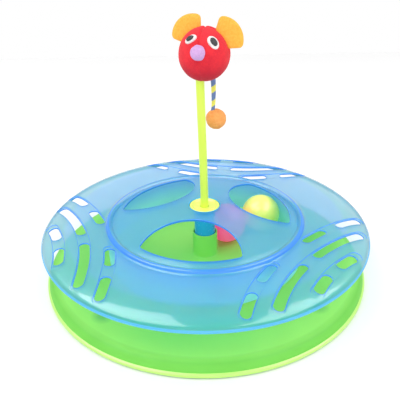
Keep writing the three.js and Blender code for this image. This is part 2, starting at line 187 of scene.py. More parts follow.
@dataclass(frozen=True)
class TintedMoulding(Finish):
    """Tinted thermoplastic, injection moulded and polished by its mould.

    The eye sees a milky body colour that blurs what lies behind to a soft glow, a smooth gloss with the
    faint waviness of cooled plastic, and fine rubbing marks that break the reflections a little.
    """

    deeper: str
    alpha: float
    roughness: float
    ior: float = 1.53
    specular: float = 0.5
    clouds: float = 30.0  # mm between soft changes of tone
    wave: float = 14.0  # mm between the swells of the skin
    wave_depth: float = 0.02  # mm
    rub: float = 1.8  # mm between rubbed places
    scuff: float = 0.04  # how much rougher the rubbed places are
    haze: float = 0.0  # share of the light that goes through blurred
    polish: float = 0.0  # share of the face that is polished smooth over the haze
    polish_roughness: float = 0.07
    worn: float = 0.0  # mm from the axis, inside which paws have dulled the polish
    worn_polish: float = 0.4  # share of the polish that is left there
    painted_light: str = ""  # painted light and shade: a tone that the body colour runs to
    painted_light_way: Way = Way.LEVEL
    painted_light_span: Span = (0.0, 10.0)  # mm, from none of it to all
    spot: str = ""  # tone over the four feet, which show through the skin
    spot_circle: float = 104.0  # mm
    spot_phase: float = -132.4
    spot_span: Span = (9.0, 3.0)  # mm from a foot's middle, from none of it to all
    painted_glow: str = ""  # painted glow: an emission that brightens the plastic, though it is no lamp

    def make(self) -> bpy.types.Material:
        """Builds the material as one that is seen through."""
        material = super().make()
        material.surface_render_method = "BLENDED"
        return material

    def shading(self, tree: Tree, place: Socket) -> dict:
        """Works out the shader's inputs.

        Args:
            tree: the material's node tree.
            place: the Object coordinates.

        Returns:
            The inputs by name.
        """
        clouds = {"Vector": place, "Scale": per_metre(self.clouds), "Detail": 2.0}
        scratches = {"Vector": place, "Scale": per_metre(self.rub), "Detail": 3.0}
        swells = {"Vector": place, "Scale": per_metre(self.wave), "Detail": 1.0}
        cloud = add_node(tree, "ShaderNodeTexNoise", clouds)
        scratch = add_node(tree, "ShaderNodeTexNoise", scratches)
        swell = add_node(tree, "ShaderNodeTexNoise", swells)
        rough = {"To Min": self.roughness, "To Max": self.roughness + self.scuff}
        rubbed = add_node(
            tree, "ShaderNodeMapRange", {"Value": scratch, "From Min": 0.45, "From Max": 0.75, **rough}
        )
        body = toned(tree, cloud, (0.3, 0.7), self.colour, self.deeper)
        # Painted light and shade: the body colour runs to another tone with level or reach.
        if self.painted_light:
            up = add_node(tree, "ShaderNodeSeparateXYZ", {0: place}, "Z")
            way = up if self.painted_light_way is Way.LEVEL else reach_of(tree, place)
            body = toned(tree, way, metres(self.painted_light_span), body, self.painted_light)
        if self.spot:
            body = toned(tree, self.from_foot(tree, place), metres(self.spot_span), body, self.spot)
        return {
            "Base Color": body,
            "Roughness": rubbed,
            "IOR": self.ior,
            "Specular IOR Level": self.specular,
            "Transmission Weight": self.haze,
            "Coat Weight": self.polished(tree, place) if self.worn else self.polish,
            "Coat Roughness": self.polish_roughness,
            "Alpha": self.alpha,
            # Painted glow: the emission brightens the plastic though no lamp shines from it.
            "Emission Color": linear(self.painted_glow or "#000000"),
            "Emission Strength": 1.0 if self.painted_glow else 0.0,
            "Normal": add_node(
                tree, "ShaderNodeBump", {"Height": swell, "Distance": self.wave_depth * MM, "Strength": 1.0}
            ),
        }

    def polished(self, tree: Tree, place: Socket) -> Socket:
        """The polish, which falls over 3 mm to its worn share inside the worn circle."""
        ends = {"From Min": (self.worn - 3) * MM, "From Max": self.worn * MM}
        shares = {"To Min": self.worn_polish * self.polish, "To Max": self.polish}
        return add_node(tree, "ShaderNodeMapRange", {"Value": reach_of(tree, place), **ends, **shares})

    def from_foot(self, tree: Tree, place: Socket) -> Socket:
        """Distance from the nearest foot's axis.

        The place is turned so that the feet lie on the diagonals, and folded into one quarter.

        Args:
            tree: the material's node tree.
            place: the Object coordinates.

        Returns:
            The distance's output, in metres.
        """
        flat = add_node(tree, "ShaderNodeVectorMath", {0: place, 1: (1, 1, 0)}, operation="MULTIPLY")
        turn = {"Vector": flat, "Angle": math.radians(45 - self.spot_phase)}
        turned = add_node(tree, "ShaderNodeVectorRotate", turn, rotation_type="Z_AXIS")
        folded = add_node(tree, "ShaderNodeVectorMath", {0: turned}, operation="ABSOLUTE")
        side = self.spot_circle * MM / math.sqrt(2)
        foot = (side, side, 0)
        return add_node(tree, "ShaderNodeVectorMath", {0: folded, 1: foot}, "Value", operation="DISTANCE")


@dataclass(frozen=True)
class PadFoam(Finish):
    """Die-cut closed-cell rubber foam: matt, with fine open pores that keep the board from sliding."""

    shadow: str
    pore: float = 0.5  # mm

    def shading(self, tree: Tree, place: Socket) -> dict:
        """Works out the shader's inputs.

        Args:
            tree: the material's node tree.
            place: the Object coordinates.

        Returns:
            The inputs by name.
        """
        pores = add_node(tree, "ShaderNodeTexVoronoi", {"Vector": place, "Scale": per_metre(self.pore)})
        return {
            "Base Color": toned(tree, pores, (0.0, 0.6), self.shadow, self.colour),
            "Roughness": 0.85,
            "Normal": add_node(
                tree, "ShaderNodeBump", {"Height": pores, "Distance": 0.1 * MM, "Strength": 0.7}
            ),
        }


@dataclass(frozen=True)
class Felt(Finish):
    """Needled or rolled wool felt: matted short fibres in every direction.

    The eye sees a soft matt face with a mottled tone, small tufts, and a pale fibre haze at its rim.
    """

    shadow: str
    tuft: float = 1.5  # mm between tufts
    fibre: float = 0.35  # mm, wider than a real fibre, so that it shows
    depth: float = 0.22  # mm
    haze: float = 0.35

    def shading(self, tree: Tree, place: Socket) -> dict:
        """Works out the shader's inputs.

        Args:
            tree: the material's node tree.
            place: the Object coordinates.

        Returns:
            The inputs by name.
        """
        big = {"Vector": place, "Scale": per_metre(self.tuft), "Detail": 3.0, "Distortion": 0.6}
        fine = {"Vector": place, "Scale": per_metre(self.fibre), "Detail": 2.0, "Distortion": 2.5}
        tufts = add_node(tree, "ShaderNodeTexNoise", big)
        fibres = add_node(tree, "ShaderNodeTexNoise", fine)
        both = add_node(tree, "ShaderNodeMath", {0: tufts, 1: fibres}, operation="ADD")
        return {
            "Base Color": toned(tree, both, (0.75, 1.2), self.shadow, self.colour),
            "Roughness": 0.95,
            "Specular IOR Level": 0.15,
            "Sheen Weight": self.haze,
            "Sheen Roughness": 0.5,
            "Sheen Tint": linear(self.colour),
            "Normal": add_node(
                tree, "ShaderNodeBump", {"Height": both, "Distance": self.depth * MM, "Strength": 0.8}
            ),
        }


@dataclass(frozen=True)
class ShortPile(Finish):
    """Warp-knit velour with a pile under a millimetre, as on small stuffed toys.

    The eye sees a dense, slightly mottled nap with a soft sheen along the rim and no gloss. Painted
    shade darkens its lower part.
    """

    shadow: str
    below: str  # painted shade: the tone that the lower part of the head runs to
    painted_shade_span: Span  # mm over the floor, from none of it to all
    sheen: str
    nap: float = 0.8  # mm between tufts of the pile
    drift: float = 7.0  # mm between brushed places
    depth: float = 0.16  # mm

    def shading(self, tree: Tree, place: Socket) -> dict:
        """Works out the shader's inputs.

        Args:
            tree: the material's node tree.
            place: the Object coordinates.

        Returns:
            The inputs by name.
        """
        big = {"Vector": place, "Scale": per_metre(self.drift), "Detail": 2.0}
        fine = {"Vector": place, "Scale": per_metre(self.nap), "Detail": 3.0, "Distortion": 1.0}
        brushed = add_node(tree, "ShaderNodeTexNoise", big)
        nap = add_node(tree, "ShaderNodeTexNoise", fine)
        both = add_node(tree, "ShaderNodeMath", {0: brushed, 1: nap}, operation="ADD")
        body = toned(tree, both, (0.7, 1.3), self.shadow, self.colour)
        up = add_node(tree, "ShaderNodeSeparateXYZ", {0: place}, "Z")
        return {
            # Painted shade: the colour darkens towards the head's bottom.
            "Base Color": toned(tree, up, metres(self.painted_shade_span), body, self.below),
            "Roughness": 0.9,
            "Specular IOR Level": 0.2,
            "Sheen Weight": 0.3,
            "Sheen Roughness": 0.45,
            "Sheen Tint": linear(self.sheen),
            "Normal": add_node(
                tree, "ShaderNodeBump", {"Height": nap, "Distance": self.depth * MM, "Strength": 0.8}
            ),
        }


@dataclass(frozen=True)
class WrappedCord(Finish):
    """Soft cotton cord wound with yarn in two colours, in bands along its length.

    The eye sees matt bands a little slanted round the cord, each ribbed by the turns of the yarn. It
    reads the cord's own map: U round it, V along it in metres.
    """

    band: str
    period: float = 10.4  # mm from band to band
    band_share: float = 0.44
    start: float = 4.6  # mm along the cord where a band starts
    slant: float = 1.1  # mm that a band runs along the cord on either side
    blur: float = 0.15  # mm, half the width of a band's edge
    yarn: float = 0.75  # mm from turn to turn
    rib: float = 0.08  # mm
    fluff: float = 0.5  # mm

    def shading(self, tree: Tree, place: Socket) -> dict:
        """Works out the inputs: a band shows where the slanted way along the cord is early in its period.

        Args:
            tree: the material's node tree.
            place: the Object coordinates.

        Returns:
            The inputs by name.
        """
        cord = add_node(tree, "ShaderNodeUVMap", uv_map="cord")
        around = add_node(tree, "ShaderNodeSeparateXYZ", {0: cord}, "X")
        length = add_node(tree, "ShaderNodeSeparateXYZ", {0: cord}, "Y")
        turn = add_node(tree, "ShaderNodeMath", {0: around, 1: 2 * math.pi}, operation="MULTIPLY")
        lean = add_node(tree, "ShaderNodeMath", {0: turn}, operation="COSINE")
        slant = add_node(tree, "ShaderNodeMath", {0: lean, 1: self.slant * MM}, operation="MULTIPLY")
        along = add_node(tree, "ShaderNodeMath", {0: length, 1: slant}, operation="ADD")
        shifted = add_node(tree, "ShaderNodeMath", {0: along, 1: -self.start * MM}, operation="ADD")
        period = {0: shifted, 1: self.period * MM}
        phase = add_node(tree, "ShaderNodeMath", period, operation="FLOORED_MODULO")
        edge = self.band_share * self.period
        bands = toned(tree, phase, metres((edge + self.blur, edge - self.blur)), self.colour, self.band)
        yarns = {0: along, 1: 2 * math.pi / (self.yarn * MM)}
        turns = add_node(tree, "ShaderNodeMath", yarns, operation="MULTIPLY")
        rib = add_node(tree, "ShaderNodeMath", {0: turns}, operation="SINE")
        fibres = {"Vector": place, "Scale": per_metre(self.fluff), "Detail": 2.0}
        fluff = add_node(tree, "ShaderNodeTexNoise", fibres)
        spread = {"From Min": 0.3, "From Max": 0.7, "To Min": 0.82, "To Max": 1.06}
        mottle = add_node(tree, "ShaderNodeMapRange", {"Value": fluff, **spread})
        colours = {0: 1.0, 6: bands, 7: mottle}
        return {
            "Base Color": add_node(
                tree, "ShaderNodeMix", colours, 2, data_type="RGBA", blend_type="MULTIPLY"
            ),
            "Roughness": 0.9,
            "Specular IOR Level": 0.2,
            "Sheen Weight": 0.2,
            "Normal": add_node(
                tree, "ShaderNodeBump", {"Height": rib, "Distance": self.rib * MM, "Strength": 0.7}
            ),
        }


COVER = {
    CoverPart.SKIN: TintedMoulding(
        "blue hazy ABS, moulded",
        "#30b6f8",
        "#2cb0f4",
        alpha=0.57,
        roughness=0.35,
        specular=0.2,
        haze=0.5,
        polish=1.0,
        worn=75.0,
        # Painted light: the curved edge turns teal for the green tray's light that passes through it.
        painted_light="#22b8da",
        painted_light_way=Way.REACH,
        painted_light_span=(105.0, 109.0),
    ),
    CoverPart.EDGE: TintedMoulding(
        "blue hazy ABS, seen through its edge", "#3494fa", "#308cf4", alpha=0.95, roughness=0.2, haze=0.1
    ),
    CoverPart.RIM: TintedMoulding(
        "blue hazy ABS, seen through its rim", "#50b6f0", "#4cb0ea", alpha=0.95, roughness=0.2, haze=0.1
    ),
    CoverPart.WALL: TintedMoulding(
        "blue hazy ABS, seen through the chamber's wall",
        "#9ce0f4",
        "#94d8f0",
        alpha=0.85,
        roughness=0.3,
        haze=0.25,
        # Painted shade: the wall turns a deeper blue towards its top.
        painted_light="#58a8f8",
        painted_light_span=(24.0, 38.0),
        # Painted glow: a dim blue-green emission that lifts the wall.
        painted_glow="#346460",
    ),
    CoverPart.HUB: TintedMoulding(
        "blue hazy ABS, thick in the hub", "#28b4f0", "#24aeea", alpha=1.0, roughness=0.25
    ),
}
TRAY = TintedMoulding(
    "green translucent ABS, moulded",
    "#80dc5a",
    "#7ad654",
    alpha=0.88,
    roughness=0.42,
    specular=0.12,
    # Painted light: the tray turns paler inside the cover's reach, lifting the shade that the cover casts.
    painted_light="#b0ff74",
    painted_light_way=Way.REACH,
    painted_light_span=(121.0, 116.0),
    spot="#84de6c",
)
TRAY_EDGE = TintedMoulding(
    "green translucent ABS, lit through its edge", "#ccff80", "#c4fc78", alpha=0.95, roughness=0.3
)
MAST = TintedMoulding(
    "yellow-green flexible PVC, extruded", "#e0fa58", "#d8f44e", alpha=1.0, roughness=0.4
)
PLUG = TintedMoulding("yellow-green PP, moulded", "#ecff74", "#e6fc6a", alpha=1.0, roughness=0.25)
# The balls' emission is a painted glow that brightens them in the cover's shade.
YELLOW_BALL = TintedMoulding(
    "yellow PP, blow moulded", "#fbff84", "#f4ff74", alpha=1.0, roughness=0.3, painted_glow="#2a5010"
)
# Painted glow, as for the yellow ball.
PINK_BALL = TintedMoulding(
    "pink PP, blow moulded", "#f86c98", "#f26490", alpha=1.0, roughness=0.3, painted_glow="#bc2665"
)
PADS = PadFoam("green rubber foam, die-cut", "#2f5a30", "#1f3a20")
HEAD_CLOTH = ShortPile(
    "red velour, warp-knit",
    "#ee323c",
    "#d42838",
    # Painted shade: the velour darkens towards the head's bottom.
    below="#b01c34",
    painted_shade_span=(166.0, 150.0),
    sheen="#ff8f8a",
)
EYE_FELT = Felt("white felt, needled", "#fdfbf9", "#e4dfdc", tuft=1.2)
PUPIL_FELT = Felt("dark grey felt, needled", "#58585a", "#38383a", tuft=1.2)
NOSE_FELT = Felt("lilac wool, rolled", "#d6acdf", "#c69cd2", tuft=1.6, depth=0.14)
EAR_FELT = Felt("orange-yellow felt, needled", "#fcc054", "#f4ac3e", tuft=1.4, depth=0.12)
BALL_FELT = Felt("orange wool, rolled", "#ffb46a", "#f89c54", tuft=1.9, depth=0.22)
TAIL_CORD = WrappedCord("cotton cord, wound in blue and yellow yarn", "#7089be", "#f5ec6a")


# Surfaces


def ring_points(radius: float | Array, count: int) -> tuple[Array, Array]:
    """X and Y of points spaced evenly round the axis: radius times the angle's cosine and sine."""
    angle = np.arange(count) * 2 * np.pi / count
    return radius * np.cos(angle), radius * np.sin(angle)


def unit(vectors: Array) -> Array:
    """Each row of vectors divided by its own length."""
    return vectors / np.maximum(np.linalg.norm(vectors, axis=-1, keepdims=True), 1e-12)


def turned_level(angle: float) -> Array:
    """The matrix that turns places about the vertical by an angle in radians."""
    cosine, sine = math.cos(angle), math.sin(angle)
    return np.array([[cosine, -sine, 0], [sine, cosine, 0], [0, 0, 1]])


def smooth_step(value: Array) -> Array:
    """3 v squared minus 2 v cubed, with v held between 0 and 1."""
    held = np.clip(value, 0, 1)
    return held * held * (3 - 2 * held)


def profile_normals(profile: Array) -> Array:
    """Normals of a profile of (radius, height) points.

    Each is the average of its two segments' normals, weighted by their lengths, so that a long straight
    stretch keeps its own. A segment's normal is its direction turned clockwise by a quarter.

    Args:
        profile: the points in order.

    Returns:
        A (radius, height) direction for each point.
    """
    step = np.diff(profile, axis=0)
    turned = np.column_stack([step[:, 1], -step[:, 0]])
    both = np.zeros_like(profile)
    both[:-1] += turned
    both[1:] += turned
    return unit(both)


def rounded(corners: Sequence[Place], steps: int = 5) -> Array:
    """Rounds the inner corners of an open line of (radius, height, rounding) points.

    At a corner B between A and C, the arc starts and ends at rounding / tan(half the angle) from B, and
    its centre lies on the bisector at rounding / sin(half the angle).

    Args:
        corners: the line's points with the radius of each corner, 0 for a sharp one.
        steps: segments in each arc.

    Returns:
        The rounded line's points.
    """
    line = np.array(corners, float)
    pieces = [line[:1, :2]]
    for before, corner, after in zip(line[:-2], line[1:-1], line[2:]):
        if corner[2] <= 0:
            pieces.append(corner[None, :2])
            continue
        back = unit(before[:2] - corner[:2])
        on = unit(after[:2] - corner[:2])
        half = math.acos(np.clip(back @ on, -1, 1)) / 2
        centre = corner[:2] + unit(back + on) * corner[2] / math.sin(half)
        start = corner[:2] + back * corner[2] / math.tan(half) - centre
        end = corner[:2] + on * corner[2] / math.tan(half) - centre
        share = np.linspace(0, 1, steps + 1)[:, None]
        angle = math.acos(np.clip(unit(start) @ unit(end), -1, 1))
        arc = (np.sin((1 - share) * angle) * start + np.sin(share * angle) * end) / math.sin(angle)
        pieces.append(centre + arc)
    pieces.append(line[-1:, :2])
    return np.concatenate(pieces)


def centripetal_curve(points: Array, samples: int) -> Array:
    """A Catmull-Rom curve through the points, with knots spaced by the square root of their distance.

    The points get one more at either end, mirrored in the end point. Between two knots the curve blends
    straight lines in pairs, as Barry and Goldman's pyramid does.

    Args:
        points: (n, 3) places that the curve passes through.
        samples: points wanted on each span.

    Returns:
        (m, 3) points on the curve.
    """
    full = np.vstack([2 * points[0] - points[1], points, 2 * points[-1] - points[-2]])
    spans = []
    for a, b, c, d in zip(full[:-3], full[1:-2], full[2:-1], full[3:]):
        t0 = 0.0
        t1 = t0 + np.linalg.norm(b - a) ** 0.5
        t2 = t1 + np.linalg.norm(c - b) ** 0.5
        t3 = t2 + np.linalg.norm(d - c) ** 0.5
        t = np.linspace(t1, t2, samples, endpoint=False)[:, None]
        ab = (t1 - t) / (t1 - t0) * a + (t - t0) / (t1 - t0) * b
        bc = (t2 - t) / (t2 - t1) * b + (t - t1) / (t2 - t1) * c
        cd = (t3 - t) / (t3 - t2) * c + (t - t2) / (t3 - t2) * d
        abc = (t2 - t) / (t2 - t0) * ab + (t - t0) / (t2 - t0) * bc
        bcd = (t3 - t) / (t3 - t1) * bc + (t - t1) / (t3 - t1) * cd
        spans.append((t2 - t) / (t2 - t1) * abc + (t - t1) / (t2 - t1) * bcd)
    return np.vstack([*spans, points[-1]])


def lumps(points: Array, size: float, seed: int) -> Array:
    """Soft swells between about -1 and 1 over points in space.

    It is the mean of twelve plane waves of random direction and phase.

    Args:
        points: (n, 3) places.
        size: about how long a wave is.
        seed: of the random draws.

    Returns:
        The swell at each point.
    """
    random = np.random.default_rng(seed)
    waves = unit(random.normal(size=(12, 3))) * 2 * np.pi / (size * random.uniform(0.7, 1.5, (12, 1)))
    return np.sin(points @ waves.T + random.uniform(0, 2 * np.pi, 12)).mean(axis=1) * 2


@dataclass
class Shell:
    """A closed mesh in the making: points and outward normals in mm, and triangles with their finishes."""

    points: list[Array] = field(default_factory=list)
    normals: list[Array] = field(default_factory=list)
    triangles: list[Array] = field(default_factory=list)
    finishes: list[Array] = field(default_factory=list)
    count: int = 0

    def add(self, points: Array, normals: Array) -> Array:
        """Adds points.

        Args:
            points: their places.
            normals: their normals, of any length.

        Returns:
            Their numbers.
        """
        self.points.append(np.asarray(points, float).reshape(-1, 3))
        self.normals.append(unit(np.asarray(normals, float).reshape(-1, 3)))
        numbers = np.arange(self.count, self.count + len(self.points[-1]))
        self.count += len(numbers)
        return numbers

    def at(self, numbers: Array) -> Array:
        """The points with these numbers."""
        return np.concatenate(self.points)[numbers]

    def join(self, rows: Sequence[Array], finish: int | Sequence[int] = 0) -> None:
        """Fills between each closed row of points and the next with two triangles for each pair.

        Args:
            rows: point numbers of the rows, as many in each.
            finish: the finish's number, or one for each gap between rows.
        """
        for low, high, kind in zip(rows[:-1], rows[1:], np.broadcast_to(finish, len(rows) - 1)):
            low_next = np.roll(low, -1)
            high_next = np.roll(high, -1)
            self.cover(np.column_stack([low, low_next, high_next]), kind)
            self.cover(np.column_stack([low, high_next, high]), kind)

    def close(self, row: Array, pole: int, finish: int = 0) -> None:
        """Fills between a closed row of points and one point."""
        self.cover(np.column_stack([row, np.roll(row, -1), np.full(len(row), pole)]), finish)

    def seal(self, rows: Sequence[Array], poles: Sequence[Array], facings: Sequence[Array]) -> None:
        """Joins closed rows and closes the first and the last one with a pole each.

        Args:
            rows: point numbers of the rows.
            poles: the place of either pole.
            facings: its normal.
        """
        self.join(rows)
        for row, pole, facing in zip((rows[0], rows[-1]), poles, facings):
            self.close(row, self.add(pole, facing)[0])

    def cover(self, triangles: Array, finish: int | Array = 0) -> None:
        """Adds triangles of point numbers in one finish, or in one each."""
        self.triangles.append(triangles)
        self.finishes.append(np.broadcast_to(finish, len(triangles)))

    def turn(self, profile: Array, count: int, finish: int | Sequence[int] = 0) -> list[Array]:
        """Turns a profile about the axis and joins its rows.

        Args:
            profile: (radius, height) points. A first or last radius of 0 is a pole.
            count: points round each row.
            finish: the finish's number, or one for each segment of the profile.

        Returns:
            The rows' point numbers, a pole's alone.
        """
        facing = profile_normals(profile)
        rows: list[Array] = []
        cosine, sine = ring_points(1.0, count)
        for (radius, height), (out, up) in zip(profile, facing):
            if radius < 1e-6:
                rows.append(self.add([[0, 0, height]], [[0, 0, math.copysign(1, up)]]))
                continue
            place = np.column_stack([radius * cosine, radius * sine, np.full(count, height)])
            way = np.column_stack([out * cosine, out * sine, np.full(count, up)])
            rows.append(self.add(place, way))
        for low, high, kind in zip(rows[:-1], rows[1:], np.broadcast_to(finish, len(rows) - 1)):
            if len(low) == 1:
                self.close(high, low[0], kind)
            elif len(high) == 1:
                self.close(low, high[0], kind)
            else:
                self.join([low, high], kind)
        return rows

    def made(self, name: str, uv: Array | None = None) -> bpy.types.Object:
        """Makes the object in metres, its triangles turned to face as their points' normals do.

        Args:
            name: the object's name.
            uv: a map place for each point, or None.

        Returns:
            The object, at the origin, with its normals set.
        """
        points = np.concatenate(self.points)
        normals = np.concatenate(self.normals)
        triangles = np.concatenate(self.triangles)
        a, b, c = (points[triangles[:, i]] for i in range(3))
        flat = np.cross(b - a, c - a)
        inward = (flat * normals[triangles].sum(axis=1)).sum(axis=1) < 0
        triangles[inward] = triangles[inward][:, ::-1]
        mesh = mesh_from(name, points, triangles, np.concatenate(self.finishes))
        mesh.normals_split_custom_set_from_vertices(normals)
        if uv is not None:
            layer = mesh.uv_layers.new(name="cord")
            layer.data.foreach_set("uv", uv[triangles.ravel()].astype(np.float32).ravel())
        thing = bpy.data.objects.new(name, mesh)
        bpy.context.scene.collection.objects.link(thing)
        return thing


def mesh_from(name: str, points: Array, faces: Array, finishes: Array | None = None) -> bpy.types.Mesh:
    """Makes a smooth mesh in metres.

    Args:
        name: the mesh's name.
        points: the points in mm.
        faces: point numbers of the faces, as many in each.
        finishes: each face's finish number, or None.

    Returns:
        The mesh.
    """
    mesh = bpy.data.meshes.new(name)
    count, size = faces.shape
    mesh.vertices.add(len(points))
    mesh.vertices.foreach_set("co", (points * MM).astype(np.float32).ravel())
    mesh.loops.add(faces.size)
    mesh.loops.foreach_set("vertex_index", faces.astype(np.int32).ravel())
    mesh.polygons.add(count)
    mesh.polygons.foreach_set("loop_start", np.arange(0, faces.size, size, dtype=np.int32))
    if finishes is not None:
        mesh.polygons.foreach_set("material_index", finishes.astype(np.int32))
    mesh.polygons.foreach_set("use_smooth", np.ones(count, bool))
    mesh.update(calc_edges=True)
    mesh.validate()
    return mesh


def dress(
    thing: bpy.types.Object, body: str, slot: str, materials: Sequence[bpy.types.Material], *nodes: str
) -> bpy.types.Object:
    """Gives a piece its materials and body, and lets it stand for its nodes.

    Args:
        thing: the piece.
        body: the body that it rides on.
        slot: the record's material slot; not used.
        materials: the piece's materials, in the order of its finishes.
        *nodes: the nodes that it replaces.

    Returns:
        The piece.
    """
    for material in materials:
        thing.data.materials.append(material)
    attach(thing, body)
    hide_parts(*nodes)
    log.info("%s: %d faces on %s", thing.name, len(thing.data.polygons), body)
    return thing


# Tray


@dataclass
class Tray:
    """The low round tray with the cover's post, and the bosses and pads under it."""

    radius: float = 125.0
    top: float = 10.3
    wall: float = 2.0
    shoulder: float = 6.5
    edge_level: float = 0.9
    band_height: float = 2.2
    band_width: float = 1.3
    post_radius: float = 9.75
    post_bore: float = 8.5
    post_top: float = 30.5
    post_fillet: float = 1.6
    foot_circle: float = 102.0
    foot_phase: float = -132.4
    boss_radius: float = 5.4
    boss_foot: float = 1.5
    boss_overlap: float = 0.05  # into the tray
    steps: int = 256
    boss_steps: int = 48

    def shell_line(self) -> Array:
        """The section from the bore's floor over the post and shoulder, round the edge, to the middle."""
        outside = self.radius - self.band_width
        inside = outside - self.wall
        band_top = self.edge_level + self.band_height
        under = self.top - self.wall
        return rounded(
            [
                (0, self.top, 0),
                (self.post_bore, self.top, 0.5),
                (self.post_bore, self.post_top, 0.6),
                (self.post_radius, self.post_top, 0.5),
                (self.post_radius, self.top, self.post_fillet),
                (outside, self.top, self.shoulder),
                (outside, band_top + self.band_width * 0.45, 0.15),
                (self.radius, band_top, 0.5),
                (self.radius, self.edge_level, 0.5),
                (inside, self.edge_level, 0.4),
                (inside, under, self.shoulder - self.wall),
                (0, under, 0),
            ],
            steps=6,
        )[::-1]

    def boss_line(self) -> Array:
        """Half the section of a boss: a short round post with a rounded foot."""
        top = self.top - self.wall + self.boss_overlap
        return rounded(
            [
                (0, self.boss_foot, 0),
                (self.boss_radius, self.boss_foot, 0.4),
                (self.boss_radius, top, 0.1),
                (0, top, 0),
            ]
        )

    def build(self) -> None:
        """Makes the tray in one shell and gives the pads their foam."""
        shell = Shell()
        line = self.shell_line()
        middle = (line[:-1] + line[1:]) / 2
        band = (middle[:, 0] > self.radius - self.band_width) & (middle[:, 1] < self.top / 2)
        shell.turn(line, self.steps, finish=band.astype(int))
        for quarter in range(4):
            angle = math.radians(self.foot_phase + 90 * quarter)
            start = len(shell.points)
            shell.turn(self.boss_line(), self.boss_steps)
            move = np.array([math.cos(angle), math.sin(angle), 0]) * self.foot_circle
            shell.points[start:] = [row + move for row in shell.points[start:]]
        finishes = [TRAY.make(), TRAY_EDGE.make()]
        dress(shell.made("tray_moulding"), "base", "tray_plastic", finishes, "base_tray")
        foam = PADS.make()
        for number in range(1, 5):
            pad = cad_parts[f"foot_pad_{number}"]
            pad.data.materials.clear()
            pad.data.materials.append(foam)
            log.info("%s: foam", pad.name)


# Cover


@dataclass
class Outline:
    """A closed outline of an opening: points in the disc's plane and normals that point into the skin."""

    points: Array
    normals: Array

    @staticmethod
    def of_arcs(arcs: Sequence[Arc], spacing: float) -> "Outline":
        """Chains arcs, their points spaced evenly. The last point of one is left to the next.

        Args:
            arcs: each one's centre, radius, two end angles, and 1 if the skin lies outside it, else -1.
            spacing: the largest distance between points.

        Returns:
            The closed outline.
        """
        points, normals = [], []
        for centre, radius, start, end, out in arcs:
            steps = max(6, math.ceil(abs(end - start) * radius / spacing))
            angle = start + (end - start) * np.arange(steps) / steps
            way = np.column_stack([np.cos(angle), np.sin(angle)])
            points.append(np.array(centre) + radius * way)
            normals.append(out * way)
        return Outline(np.concatenate(points), np.concatenate(normals))

    def grown(self, by: float) -> Array:
        """The points moved into the skin."""
        return self.points + by * self.normals

    def turned(self, angle: float) -> "Outline":
        """The outline turned about the axis, by degrees."""
        cosine, sine = math.cos(math.radians(angle)), math.sin(math.radians(angle))
        turn = np.array([[cosine, sine], [-sine, cosine]])
        return Outline(self.points @ turn, self.normals @ turn)

    def mirrored(self) -> "Outline":
        """The outline mirrored in the X axis."""
        flip = np.array([1, -1])
        return Outline(self.points[::-1] * flip, self.normals[::-1] * flip)


@dataclass
class Band:
    """A round-ended band along an arc whose centre lies outside the disc: a slot or a sunk channel."""

    centre: float
    radius: float
    half: float
    start: float  # radians from the group's middle to the first end circle's centre
    end: float

    def outline(self, spacing: float) -> Outline:
        """The outline: far side, end circle, near side, end circle.

        Args:
            spacing: the largest distance between points.

        Returns:
            The outline.
        """
        a, b = math.pi - self.end, math.pi - self.start
        tip_a = (self.centre + self.radius * math.cos(a), self.radius * math.sin(a))
        tip_b = (self.centre + self.radius * math.cos(b), self.radius * math.sin(b))
        middle = (self.centre, 0.0)
        return Outline.of_arcs(
            [
                (middle, self.radius + self.half, a, b, 1),
                (tip_b, self.half, b, b + math.pi, 1),
                (middle, self.radius - self.half, b, a, -1),
                (tip_a, self.half, a + math.pi, a + 2 * math.pi, 1),
            ],
            spacing,
        )

    def distance(self, x: Array, y: Array) -> Array:
        """Distance from the band's edge, below 0 inside: that from its middle arc less half its width.

        Args:
            x: X of places in the group's frame.
            y: their Y.

        Returns:
            The distances.
        """
        side = np.abs(y)
        angle = np.clip(np.arctan2(side, self.centre - x), self.start, self.end)
        near_x = self.centre - self.radius * np.cos(angle)
        near_y = self.radius * np.sin(angle)
        return np.hypot(x - near_x, side - near_y) - self.half


